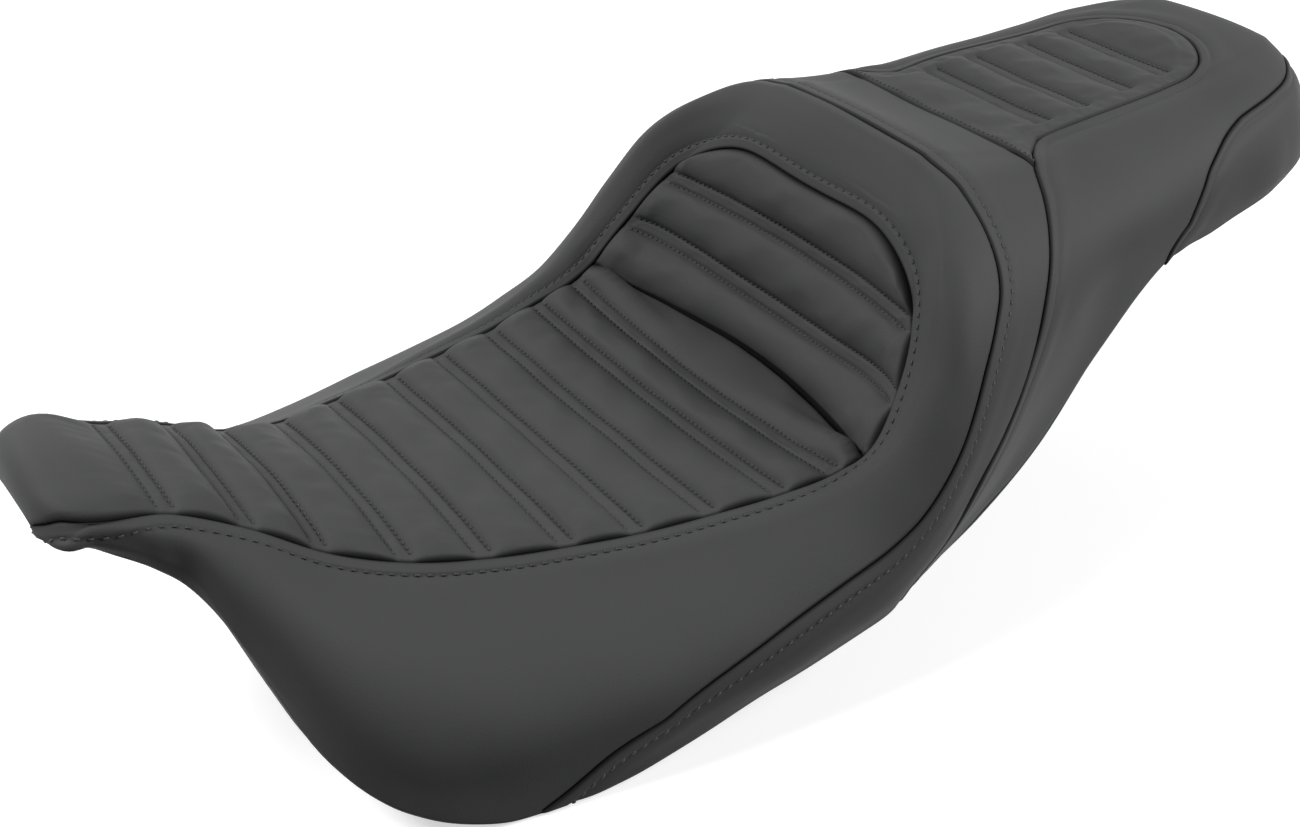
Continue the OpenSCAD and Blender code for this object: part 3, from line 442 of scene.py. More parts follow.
# ---------------------------------------------------------------- stitching
def stitch_pieces(lines, normals, length, gap, thread, sides=6, rings=5):
    """Short threads laid along lines: each is a tube whose ends turn down into the cover.

    A thread's point is its place along the line plus a circle of the thread's radius times sqrt(1 - w^6),
    and it sinks by w^4 times 2.4 radii, with w from -1 to 1 along the thread.
    """
    w = np.linspace(-1, 1, rings)
    angle = np.arange(sides) * 2 * np.pi / sides
    points, quads, start = [], [], 0
    radius = thread / 2
    body = np.sqrt(np.maximum(0.02, 1 - w**6))
    for line, normal in zip(lines, normals):
        step = np.linalg.norm(np.diff(line, axis=0), axis=1)
        run = np.concatenate([[0], np.cumsum(step)])
        count = int(run[-1] / (length + gap))
        if count < 1:
            continue
        at = (np.arange(count) + 0.5) * run[-1] / count
        place = at[:, None] + w * length / 2
        where = np.stack([np.interp(place, run, line[:, k]) for k in range(3)], -1)
        up = unit(np.stack([np.interp(place, run, normal[:, k]) for k in range(3)], -1))
        ahead = unit(where[:, -1:] - where[:, :1]) * np.ones_like(where)
        across = unit(np.cross(ahead, up))
        centre = where + up * (radius * 0.55 - 2.4 * radius * w**4)[None, :, None]
        circle = np.cos(angle)[:, None] * across[:, :, None] + np.sin(angle)[:, None] * up[:, :, None]
        ring = centre[:, :, None] + radius * body[None, :, None, None] * circle
        points.append(ring.reshape(-1, 3))
        j, k = np.meshgrid(np.arange(rings - 1), np.arange(sides), indexing="ij")
        a, b = j * sides + k, j * sides + (k + 1) % sides
        one = np.stack([a, b, b + sides, a + sides], -1).reshape(-1, 4)
        offsets = start + np.arange(count)[:, None, None] * rings * sides
        quads.append((offsets + one).reshape(-1, 4))
        cap = np.array([[0, 5, 4, 1], [1, 4, 3, 2]])
        far = (rings - 1) * sides + np.array([[0, 1, 4, 5], [1, 2, 3, 4]])
        quads.append((offsets + np.concatenate([cap, far])).reshape(-1, 4))
        start += count * rings * sides
    return np.concatenate(points), np.concatenate(quads)[:, ::-1]


# ---------------------------------------------------------------- smooth panels
def half_strip(inner, outer, parts, step, columns, ends, path=None):
    """Points and normals of a strip between two seams of the left half, mirrored into the whole strip.

    A row lies every step of the seams' mean length. Across the strip the columns crowd at both seams.
    """
    inner, outer = np.asarray(inner, float), np.asarray(outer, float)
    a, b = [], []
    for k, (first, last) in enumerate(zip(parts[:-1], parts[1:])):
        fine = np.linspace(0, last - first, 40 * (last - first) + 1)[(1 if k else 0):]
        a.append(along(inner[first:last + 1], fine))
        b.append(along(outer[first:last + 1], fine))
    a, b = np.concatenate(a), np.concatenate(b)
    length = sum(np.linalg.norm(np.diff(skin(c[:, 0], c[:, 1]), axis=0), axis=1) for c in (a, b)) / 2
    run = np.concatenate([[0], np.cumsum(length)])
    rows = np.linspace(0, run[-1], int(run[-1] / step) + 1)
    a, b = [np.stack([np.interp(rows, run, c[:, k]) for k in (0, 1)], -1) for c in (a, b)]
    s = dense_ends(columns, ends)[None, :]
    if path is None:
        y, v = [a[:, k, None] + (b[:, k, None] - a[:, k, None]) * s for k in (0, 1)]
    else:
        y, v = path(a, b, s)
    p, n = skin(y, v), skin_normal(y, v)
    p[-1, :, 0] = 0
    n[-1, :, 0] = 0
    n = unit(n)
    other = np.array([-1.0, 1, 1])
    return np.concatenate([p, p[-2::-1] * other]), np.concatenate([n, n[-2::-1] * other])


def tail_path(a, b, s):
    """Round the tail the strip goes on to the end of the seat before it turns down to the hem."""
    w = np.clip((a[:, :1] - TAIL_TURN) / 64, 0, 1) ** 2
    sy = (1 - w) * s + w * np.minimum(1, 2.5 * s)
    sv = (1 - w) * s + w * np.maximum(0, (2.5 * s - 1) / 1.5)
    return a[:, :1] + (b[:, :1] - a[:, :1]) * sy, a[:, 1:] + (b[:, 1:] - a[:, 1:]) * sv


def wander(p, seed, wavelength, size):
    """A slow, uneven swell: the mean of six plane waves with random directions and phases."""
    random = np.random.default_rng(seed)
    total = np.zeros(p.shape[:-1])
    for _ in range(6):
        way = unit(random.normal(size=3)) * 2 * np.pi / (wavelength * random.uniform(0.7, 1.5))
        total += np.sin(p @ way + random.uniform(0, 2 * np.pi))
    return size * total / 6


def lip(d, width, rise):
    """A flat raised lip beside a seam, a groove under its topstitch, and a slight swell beyond it."""
    flat = rise * (1 - smooth(d, width - 1.2, width + 0.8))
    return flat - 0.55 * dip(d, width + 0.4, 1.1) + 0.5 * dip(d, width + 7, 5)


def paint_shade_in_grooves(piece, groove):
    """Stores, from 0 to 1, how much painted shade each vertex of both faces gets in seams and channels; the
    vinyl's colour darkens by it.
    """
    values = np.tile(groove.ravel(), 2).astype(np.float32)
    # The attribute is named groove, but it holds painted shade, not a depth.
    piece.data.attributes.new("groove", "FLOAT", "POINT").data.foreach_set("value", values)


# Every panel of the cover that is made so far, by name, with its grids.
COVER = {}


def cover_panel(name, node, p, n, height, groove, front_tuck=TUCK, rear_tuck=TUCK, **grids):
    """A panel of the cover that stands for one CAD node: the surface plus its heights, with its borders
    tucked into the seams. Its grids are kept for the stitching and the padding."""
    q = p + n * height[..., None]
    outer = tucked(q, n, front_tuck, rear_tuck, TUCK)
    piece = two_faced_piece(name, outer, outer - VINYL * grid_normals(outer),
                            get_material("seat_vinyl"))
    # groove is painted shade for the vinyl's colour; the tucked border rows get it in full.
    paint_shade_in_grooves(piece, np.pad(groove, 1, constant_values=1))
    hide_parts(node)
    COVER[name] = dict(p=p, n=n, q=q, height=height, **grids)


def painted_seam_shade(*distances):
    """Painted shade for the vinyl's colour: 1 in a seam and 0 a few millimetres away from it."""
    return np.clip(sum(dip(d, 0, 1.5) for d in distances), 0, 1)


# ---------------------------------------------------------------- seat pan and hem
DRIVER_CEILING, PASSENGER_CEILING, NOSE_CEILING = 55.0, 178.0, 167.0
NOSE_RISE = [(-427, 1), (-400, 1), (-365, 0.86), (-335, 0.67), (-300, 0.44), (-265, 0.22), (-225, 0.07),
             (-190, 0), (-20, 0)]
PASSENGER_RISE = [(-20, 0), (30, 0.06), (60, 0.25), (90, 0.57), (115, 0.79), (140, 0.91), (165, 0.98),
                  (180, 1), (405, 1)]
PAN_FRONT, PAN_REAR, PAN_WALL, PAN_CORNER, PAN_LIFT = -402.0, 390.0, 3.0, 14.0, 3.0
SIDE_FOAM, HEM_TURN, NOSE_HEM_TOP = 12.0, 15.0, 161.0


def pan_top(y):
    """Height of the pan: the rider's ceiling, rising to the nose's in front and the passenger's behind."""
    front = DRIVER_CEILING + (NOSE_CEILING - DRIVER_CEILING) * guide(NOSE_RISE, y)
    rear = DRIVER_CEILING + (PASSENGER_CEILING - DRIVER_CEILING) * guide(PASSENGER_RISE, y)
    return np.where(y < -20, front, rear)


def pan_inset(y):
    """Distance of the pan's side inside the hem."""
    return np.interp(y, [-427, -380, -330, 180, 230, 405], [8, 8, 12, 12, 9, 9]) / 12 * SIDE_FOAM


def pan_half(y):
    """Half width of the pan at its lower edge."""
    return guide(HEM_X, y) - pan_inset(y)


def pan_point(y, w, grow=0.0):
    """Point of the pan's outer face: flat to |w| = 0.5, a rounded shoulder to 0.75, then the side."""
    y, w = np.broadcast_arrays(np.asarray(y, float), np.asarray(w, float))
    a = np.abs(w)
    rim_z, wide_z = guide(RIM_Z, y), guide(WIDE_Z, y)
    rim_x, wide_x = guide(RIM_X, y), guide(WIDE_X, y)
    down = np.clip((rim_z - pan_top(y)) / np.maximum(rim_z - wide_z, 1), 0, 1)
    shoulder = np.minimum(pan_half(y), rim_x + (wide_x - rim_x) * down - pan_inset(y) * 1.2)
    edge = guide(HEM_Z, y) + PAN_LIFT
    r = np.minimum(PAN_CORNER, 0.45 * (pan_top(y) - edge)) + min(grow, 0) * 0.6
    x, z = shoulder + grow, pan_top(y) + grow
    s = np.clip((a - 0.5) / 0.25, 0, 1) * np.pi / 2
    side_z = z - r + (edge - z + r) * np.clip((a - 0.75) / 0.25, 0, 1)
    lean = np.clip((side_z - edge) / np.maximum(z - r - edge, 1), 0, 1)
    side_x = pan_half(y) + grow + (shoulder - pan_half(y)) * lean
    px = np.where(a <= 0.5, (x - r) * a / 0.5, np.where(a <= 0.75, x - r + r * np.sin(s), side_x))
    pz = np.where(a <= 0.5, z, np.where(a <= 0.75, z - r + r * np.cos(s), side_z))
    return np.stack([np.where(w < 0, -1, 1) * px, y, pz], -1)


def cut_corners(points, times):
    """Rounds a polyline of every row: each inner corner gives way to the quarter points beside it."""
    for _ in range(times):
        a, b = points[:, :-1], points[:, 1:]
        middle = np.stack([0.75 * a + 0.25 * b, 0.25 * a + 0.75 * b], 2)
        middle = middle.reshape(len(points), -1, 3)
        points = np.concatenate([points[:, :1], middle[:, 1:-1], points[:, -1:]], 1)
    return points


def hem_loop():
    """The folded hem's sections all round the seat: down behind the cover's edge, in under the pan's edge,
    and up its inner side."""
    y = NOSE_Y + (TAIL_Y - NOSE_Y) * dense_ends(300, 0.85)
    x, z = guide(HEM_X, y), guide(HEM_Z, y)
    inner_y = np.interp(y, [NOSE_Y, -380, 345, TAIL_Y], [PAN_FRONT + 3.5, -375, 342, PAN_REAR - 4])
    inner_x = pan_half(inner_y) - PAN_WALL - 0.8
    inner_x = np.where(y > 380, np.minimum(inner_x, x * 0.87), inner_x)
    inner_z = guide(HEM_Z, inner_y)
    up = np.clip(pan_top(inner_y) - PAN_WALL - 2 - inner_z, 1.5, HEM_TURN)
    side = np.stack([x, y, z, inner_x, inner_y, inner_z, up], -1)
    side[-1, [0, 3]] = 0
    t = np.linspace(-1, 1, 26)[1:-1]
    arched, level = 1 - t**4, np.ones_like(t)
    front = np.stack([x[0] * t, NOSE_Y * level, z[0] + 1.5 * arched, inner_x[0] * t, inner_y[0] * level,
                      inner_z[0] + (NOSE_HEM_TOP - inner_z[0]) * arched,
                      up[0] + (1.5 - up[0]) * (1 - t**8)], -1)
    other = side[-2::-1] * np.array([-1, 1, 1, -1, 1, 1, 1])
    loop = np.concatenate([side, other, front])
    outer, inner, up = loop[:, :3], loop[:, 3:6], loop[:, 6]
    way = inner - outer
    reach = np.maximum(np.linalg.norm(way, axis=1), 1)

    def at(share, lift):
        point = outer + way * share[:, None]
        point[:, 2] += lift
        return point

    # Each stop is a share of the way in from the cover's edge to the pan's inner side, and a lift.
    one = np.ones(len(loop))
    path = [at(0.9 / reach, 1.8 * one), at(1.1 / reach, -0.2 * one), at(3.2 / reach, -1.0 * one),
            at(1 - 2 / reach, -1.0 * one), at(one, -0.6 * one), at(one, 1.4 * one), at(one, up)]
    return cut_corners(np.stack(path, 1), 2)


def ring_piece(name, p, thickness, material):
    """A closed sheet whose rows go all the way round."""
    padded_rows = np.concatenate([p[-1:], p, p[:1]])
    inner = p - thickness * grid_normals(padded_rows)[1:-1]
    n, m = p.shape[:2]
    i, j = np.meshgrid(np.arange(n), np.arange(m - 1), indexing="ij")
    a, b = i * m + j, (i + 1) % n * m + j
    face = np.stack([a, a + 1, b + 1, b], -1).reshape(-1, 4)
    row, after = np.arange(n), (np.arange(n) + 1) % n
    low = np.stack([row * m, after * m, after * m + n * m, row * m + n * m], 1)
    high = np.stack([row * m, row * m + n * m, after * m + n * m, after * m], 1) + m - 1
    quads = np.concatenate([face, face[:, ::-1] + n * m, low, high])
    points = np.concatenate([p.reshape(-1, 3), inner.reshape(-1, 3)])
    return write_mesh(name, points, quads, material)


# ---------------------------------------------------------------- materials
def node_group(name, inputs, outputs, build):
    """A shader node group with named sockets; build fills it and returns what feeds each output."""
    group = bpy.data.node_groups.new(name, "ShaderNodeTree")
    for label, kind in inputs:
        group.interface.new_socket(label, in_out="INPUT", socket_type="NodeSocket" + kind)
    for label, kind in outputs:
        group.interface.new_socket(label, in_out="OUTPUT", socket_type="NodeSocket" + kind)
    start, end = group.nodes.new("NodeGroupInput"), group.nodes.new("NodeGroupOutput")
    for label, socket in build(group, start).items():
        group.links.new(socket, end.inputs[label])
    return group


def add(tree, kind, links=(), **settings):
    """A node with settings and linked inputs, given as (input, socket) pairs."""
    node = tree.nodes.new(kind)
    for key, value in settings.items():
        setattr(node, key, value)
    for key, source in links:
        if isinstance(source, bpy.types.NodeSocket):
            tree.links.new(source, node.inputs[key])
        else:
            node.inputs[key].default_value = source
    return node


def number(tree, operation, a, b, clamp=False):
    """A Math node's value."""
    return add(tree, "ShaderNodeMath", [(0, a), (1, b)], operation=operation, use_clamp=clamp).outputs[0]


def mixed(tree, factor, a, b, blend_type="MIX"):
    """A Mix node's colour."""
    node = tree.nodes.new("ShaderNodeMix")
    node.data_type, node.blend_type = "RGBA", blend_type
    for socket, value in ((node.inputs[0], factor), (node.inputs[6], a), (node.inputs[7], b)):
        if isinstance(value, bpy.types.NodeSocket):
            tree.links.new(value, socket)
        else:
            socket.default_value = value
    return node.outputs[2]


def surface_group(name, grain, spread, speckle=0.0, grooves=False):
    """Colour, roughness and height from two noises: a fine grain and a slow variation in tone.

    The colour is scaled by 1 plus spread times the slow noise's difference from a half, and by a speckle.
    Where grooves is set, it is also darkened by up to 0.85 times the groove attribute: painted shade in
    seams and channels.
    """
    def build(tree, start):
        place = add(tree, "ShaderNodeTexCoord").outputs["Object"]
        cells = add(tree, "ShaderNodeTexVoronoi", [("Vector", place), ("Scale", grain)],
                    feature="SMOOTH_F1")
        fine, slow = [add(tree, "ShaderNodeTexNoise",
                          [("Vector", place), ("Scale", scale), ("Detail", detail)])
                      for scale, detail in ((grain * 1.7, 3.0), (9.0, 4.0))]
        grains = number(tree, "ADD", number(tree, "MULTIPLY", cells.outputs["Distance"], 0.7),
                        number(tree, "MULTIPLY", fine.outputs["Fac"], 0.5))
        change = number(tree, "MULTIPLY", number(tree, "SUBTRACT", slow.outputs["Fac"], 0.5), spread)
        dots = number(tree, "MULTIPLY", number(tree, "SUBTRACT", fine.outputs["Fac"], 0.5), speckle)
        tone = number(tree, "ADD", number(tree, "ADD", change, dots), 1.0)
        # Painted shade: the groove attribute darkens the colour in seams, channels and the crease.
        if grooves:
            seam = add(tree, "ShaderNodeAttribute", attribute_name="groove").outputs["Fac"]
            tone = number(tree, "MULTIPLY", tone, number(tree, "SUBTRACT", 1.0,
                                                         number(tree, "MULTIPLY", seam, 0.85)), True)
        colour = add(tree, "ShaderNodeVectorMath", [(0, start.outputs["Colour"])], operation="SCALE")
        tree.links.new(tone, colour.inputs["Scale"])
        change = number(tree, "MULTIPLY", change, 0.25)
        rough = number(tree, "ADD", start.outputs["Roughness"], change, True)
        return {"Colour": colour.outputs[0], "Roughness": rough, "Height": grains}

    return node_group(name, [("Colour", "Color"), ("Roughness", "Float")],
                      [("Colour", "Color"), ("Roughness", "Float"), ("Height", "Float")], build)


def material(name, colour, roughness, grain, spread=0.3, bump=0.1, depth=0.0001, metallic=0.0, speckle=0.0,
             grooves=False, specular=0.5):
    """A Principled material whose colour, roughness and bump come from a surface group of its own."""
    made = bpy.data.materials.new(name)
    made.use_nodes = True
    made.diffuse_color = (*colour, 1)
    tree = made.node_tree
    shader = tree.nodes["Principled BSDF"]
    look = tree.nodes.new("ShaderNodeGroup")
    look.node_tree = surface_group(name + "_surface", grain, spread, speckle, grooves)
    look.inputs["Colour"].default_value = (*colour, 1)
    look.inputs["Roughness"].default_value = roughness
    tree.links.new(look.outputs["Colour"], shader.inputs["Base Color"])
    tree.links.new(look.outputs["Roughness"], shader.inputs["Roughness"])
    relief = add(tree, "ShaderNodeBump", [("Height", look.outputs["Height"]), ("Strength", bump),
                                          ("Distance", depth)])
    tree.links.new(relief.outputs["Normal"], shader.inputs["Normal"])
    shader.inputs["Metallic"].default_value = metallic
    shader.inputs["Specular IOR Level"].default_value = specular
    return made


def get_material(name):
    """One of the seat's materials, made when it is first asked for."""
    if name in bpy.data.materials:
        return bpy.data.materials[name]
    looks = bpy.context.scene.seat_looks
    recipes = {
        # The vinyl's colour carries painted shade in its seams and channels, from the groove attribute.
        "seat_vinyl": dict(colour=looks.vinyl, roughness=looks.vinyl_roughness, grain=looks.grain,
                           spread=0.35, bump=0.45, depth=0.00025, grooves=True, specular=0.08),
        "seat_thread": dict(colour=looks.thread, roughness=0.6, grain=2600, spread=0.2, bump=0.4),
        "seat_foam": dict(colour=looks.foam, roughness=0.95, grain=700, bump=0.7, depth=0.0006,
                          speckle=0.3),
        "seat_sew_foam": dict(colour=looks.sew_foam, roughness=0.95, grain=900, bump=0.5, speckle=0.2),
        "seat_pan_plastic": dict(colour=looks.pan, roughness=0.5, grain=1500, bump=0.35, depth=0.0002),
        "seat_steel": dict(colour=(0.035, 0.036, 0.038), roughness=0.38, grain=1800, bump=0.25,
                           speckle=0.2),
        "seat_zinc": dict(colour=(0.52, 0.53, 0.54), roughness=0.36, grain=1400, bump=0.2, metallic=1.0,
                          speckle=0.5),
        "seat_rubber": dict(colour=(0.018, 0.018, 0.019), roughness=0.72, grain=1200, bump=0.3),
        "seat_felt": dict(colour=(0.1, 0.105, 0.11), roughness=0.98, grain=1600, bump=0.9, depth=0.0006,
                          speckle=1.2),
    }
    return material(name, **{key: tuple(value) if hasattr(value, "__len__") else value
                             for key, value in recipes[name].items()})


def finish_nodes(names, material_name, bevel=0.0):
    """Carried-over CAD pieces get a material, and a rounded edge where one is asked for."""
    for name in names:
        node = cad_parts[name]
        node.data.materials.clear()
        node.data.materials.append(get_material(material_name))
        if bevel:
            edge = node.modifiers.new("rounded_edges", "BEVEL")
            edge.width, edge.segments, edge.limit_method = bevel, 3, "ANGLE"
            edge.harden_normals = False


# ---------------------------------------------------------------- settings
def shade(name, description, default):
    """A colour setting."""
    return FloatVectorProperty(name=name, description=description, subtype="COLOR", default=default,
                               min=0, max=1)


def length(name, description, default, low=0.0, high=1.0):
    """A length setting, in metres."""
    return FloatProperty(name=name, description=description, default=default, min=low, max=high,
                         unit="LENGTH")


class SeatLooks(PropertyGroup):
    """Colours and finishes of the seat."""
    vinyl: shade("Vinyl", "Colour of the cover", (0.052, 0.0525, 0.0535))
    vinyl_roughness: FloatProperty(name="Vinyl roughness", description="0 is glossy and 1 is dull",
                                   default=0.56, min=0, max=1)
    grain: FloatProperty(name="Grain", description="Grains of the vinyl per metre", default=1250, min=200)
    thread: shade("Thread", "Colour of the stitching", (0.006, 0.006, 0.0065))
    foam: shade("Foam", "Colour of the foam buns", (0.72, 0.6, 0.3))
    sew_foam: shade("Sew foam", "Colour of the sewn padding", (0.5, 0.51, 0.52))
    pan: shade("Seat pan", "Colour of the moulded pan", (0.016, 0.016, 0.017))


class SeatPadding(PropertyGroup):
    """Sizes of the rolls and their channels."""
    dish_crest: length("Dish rolls", "Height of the rider's rolls", 0.006, 0, 0.008)
    back_crest: length("Back rolls", "Height of the back's rolls", 0.0068, 0, 0.010)
    passenger_crest: length("Passenger rolls", "Height of the passenger's rolls", 0.0038, 0, 0.007)
    strip: length("Channel width", "Distance between the two stitch rows", 0.009, 0.004, 0.012)
    groove: length("Stitch groove", "Depth of the groove along each stitch row", 0.0007, 0, 0.002)
    seam_radius: length("Seam roll", "Radius with which the cover turns into a seam", 0.0021, 0.001, 0.004)


class SeatStitching(PropertyGroup):
    """Sizes of the threads."""
    channel_pitch: length("Channel pitch", "From stitch to stitch in a channel", 0.0038, 0.002)
    channel_thread: length("Channel thread", "Thickness of the channels' thread", 0.0013, 0.0003)
    top_pitch: length("Topstitch pitch", "From stitch to stitch beside a seam", 0.0065, 0.003)
    top_thread: length("Topstitch thread", "Thickness of the topstitching's thread", 0.0015, 0.0004)


class SeatStage(PropertyGroup):
    """The camera, the light and the floor."""
    floor_size: FloatProperty(name="Floor", description="Side of the floor", default=14, min=2,
                              unit="LENGTH")
    azimuth: FloatProperty(name="Camera azimuth", description="Turn of the camera round the seat",
                           default=math.radians(56.31), subtype="ANGLE")
    elevation: FloatProperty(name="Camera elevation", description="Tilt of the camera above level",
                             default=math.radians(31.80), subtype="ANGLE")
    lens: FloatProperty(name="Lens", description="Focal length in millimetres", default=51.23, min=10)


def millimetres(value):
    """A length setting, which Blender keeps in metres, in millimetres."""
    return value / MM


# ---------------------------------------------------------------- cloth
# The cloth simulation of the inserts: how many grid steps lie between two of its points, its frames, how
# near a seam or stitch row holds it, its pressure, how much longer it is cut than its shape, and how far
# it may leave that shape, out and in.
CLOTH_STEP, CLOTH_FRAMES, CLOTH_HELD = 2, 20, 2.2
CLOTH_PRESSURE, CLOTH_EASE = 15.0, 0.02
CLOTH_OUT, CLOTH_IN = 1.6, 0.5


def picked(count, step):
    """About every step-th index of a row of points, with both ends."""
    return np.round(np.linspace(0, count - 1, max(3, count // step + 1))).astype(int)


def spread_out(field, picks, count):
    """Values at picked rows, run straight between them to all rows."""
    i = np.arange(count)
    a = np.clip(np.searchsorted(picks, i, side="right") - 1, 0, len(picks) - 2)
    part = ((i - picks[a]) / (picks[a + 1] - picks[a]))[:, None]
    return field[a] * (1 - part) + field[a + 1] * part


def settled(p, n, height, free):
    """How far the cover leaves its drawn height once it is blown up between its seams as cloth.

    The cloth is a grid of the drawn surface, held where free, its distance from the nearest seam or stitch
    row, is small. It is cut a little longer than its shape, so it puckers. The way that each point goes
    along its normal is capped by the hyperbolic tangent, spread over the whole grid and evened out by the
    1-2-1 mean.
    """
    rows, columns = picked(p.shape[0], CLOTH_STEP), picked(p.shape[1], CLOTH_STEP)
    at = np.ix_(rows, columns)
    start = ((p + n * height[..., None])[at] * MM).reshape(-1, 3)
    mesh = bpy.data.meshes.new("cloth")
    mesh.from_pydata(start.tolist(), [], grid_quads(len(rows), len(columns)).tolist())
    cloth = bpy.data.objects.new("cloth", mesh)
    bpy.context.scene.collection.objects.link(cloth)
    held = cloth.vertex_groups.new(name="held")
    held.add(np.flatnonzero(free[at].ravel() < CLOTH_HELD).tolist(), 1.0, "REPLACE")
    modifier = cloth.modifiers.new("cloth", "CLOTH")
    settings = modifier.settings
    settings.vertex_group_mass = "held"
    settings.effector_weights.gravity = 0
    settings.use_pressure = True
    settings.uniform_pressure_force = CLOTH_PRESSURE
    settings.shrink_min = -CLOTH_EASE
    settings.bending_stiffness = 0.05
    modifier.point_cache.frame_start, modifier.point_cache.frame_end = 1, CLOTH_FRAMES
    scene = bpy.context.scene
    for now in range(1, CLOTH_FRAMES + 1):
        scene.frame_set(now)
    moved = cloth.evaluated_get(bpy.context.evaluated_depsgraph_get()).data
    end = np.empty(start.size, np.float32)
    moved.vertices.foreach_get("co", end)
    scene.frame_set(1)
    bpy.data.objects.remove(cloth)
    bpy.data.meshes.remove(mesh)
    moves = (end.reshape(-1, 3) - start) / MM
    way = (moves * n[at].reshape(-1, 3)).sum(1).reshape(len(rows), len(columns))
    way = np.where(way > 0, CLOTH_OUT * np.tanh(way / CLOTH_OUT), CLOTH_IN * np.tanh(way / CLOTH_IN))
    way = spread_out(spread_out(way, rows, p.shape[0]).T, columns, p.shape[1]).T
    for _ in range(2):
        way[1:-1] = (way[:-2] + 2 * way[1:-1] + way[2:]) / 4
        way[:, 1:-1] = (way[:, :-2] + 2 * way[:, 1:-1] + way[:, 2:]) / 4
    return way * smooth(free, 0, CLOTH_HELD)


# ---------------------------------------------------------------- operators
def insert_panel(name, node, lines, places, rows, crest, dive=0.0, front_tuck=TUCK, rear_tuck=TUCK):
    """A channelled insert: its rolls, its channels and its seams all round. Its rear edge may dive into
    the crease, and the edges there are tucked in deep."""
    sizes = bpy.context.scene.seat_padding
    radius, strip = millimetres(sizes.seam_radius), millimetres(sizes.strip)
    y, v = channelled_grid(lines, places, rows)
    p, n = skin(y, v), skin_normal(y, v)
    count = len(lines) - 1
    height, s, stitched, side = rolls(p, count, rows, crest, millimetres(sizes.groove), strip)
    front, rear = seam_distance(p, "front"), seam_distance(p, "rear")
    height += wander(p, len(name), 45, INSERT_SWELL) * smooth(side, 3, 20)
    height -= rolled(side, radius) + rolled(front, radius) + rolled(rear, radius)
    height -= dive * (1 - (places / AT_EDGE) ** 4) * (1 - smooth(rear, 0, 9))
    free = np.minimum.reduce([side, front, rear] + [np.abs(s - row) for row in stitched])
    height += settled(p, n, height, free)
    # Painted shade for the vinyl's colour: along the stitch rows, in the seams all round and in the crease.
    channel = sum(dip(s, row, 1.4) for row in stitched)
    crease = dip(rear, 0, 5) if dive else 0
    groove = CHANNEL_PAINTED_SHADE * channel * smooth(side, 3, 8) + painted_seam_shade(side, front, rear) + crease
    groove = np.clip(groove, 0, 1)
    cover_panel(name, node, p, n, height, groove, front_tuck, rear_tuck, s=s, stitched=stitched, side=side)


def smooth_panel(name, node, strip, lip_size, waves, tapered, painted_shade_sides=("first", "last")):
    """A smooth panel of the cover: a lip beside its upper seam, a slow swell and its seams.

    waves are the swell's seed, wavelength and size and the two distances between which it sets in. Where
    the panel's ends are tapered its heights fade out there, and else they turn down as at a seam.
    """
    p, n = strip
    d = {side: seam_distance(p, side) for side in ("first", "last", "front", "rear")}
    radius = millimetres(bpy.context.scene.seat_padding.seam_radius)
    height = lip(d["first"], *lip_size)
    if waves:
        seed, wavelength, size, low, high = waves
        height += wander(p, seed, wavelength, size) * smooth(d["first"], low, high)
    height -= rolled(d["first"], radius) + rolled(d["last"], radius)
    ends = np.minimum(d["front"], d["rear"])
    height = height * smooth(ends, 0, 3) if tapered else height - rolled(ends, radius)
    # The seams of the named sides get painted shade in the vinyl's colour.
    cover_panel(name, node, p, n, height, painted_seam_shade(*(d[side] for side in painted_shade_sides)), first=d["first"])


def places_across(columns, ends=0.8):
    """Places from -0.4 to 0.4 that crowd at both sides."""
    return AT_EDGE * (2 * dense_ends(columns, ends) - 1)[None, :]


class SEAT_OT_rider_inserts(Operator):
    """Makes the rider's two channelled inserts: the dish and the back"""
    bl_idname = "seat.rider_inserts"
    bl_label = "Rider's inserts"

    def execute(self, context):
        sizes = context.scene.seat_padding
        v = places_across(112)
        across = np.ones_like(v)[0]
        s = np.abs(v[0]) / AT_EDGE
        crease = crease_at(v[0])
        dish = [(NOSE_Y + 0.05) * across] + [y * across for y in DISH_CHANNELS] + [crease]
        insert_panel("driver_seat_cover", "driver_seat_panel", dish, v, 24,
                     millimetres(sizes.dish_crest), dive=CREASE_DIVE, rear_tuck=DISH_TUCK)
        lower, upper = 129 + 10.5 * s**2, 170 + 1.5 * s**2
        arch = arch_at(v[0])
        back = [crease, height_line(v[0], lower), np.minimum(height_line(v[0], upper), arch - 1.0), arch]
        insert_panel("driver_back_cover", "driver_back_panel", back, v, 30,
                     millimetres(sizes.back_crest), front_tuck=BACK_TUCK)
        return {"FINISHED"}


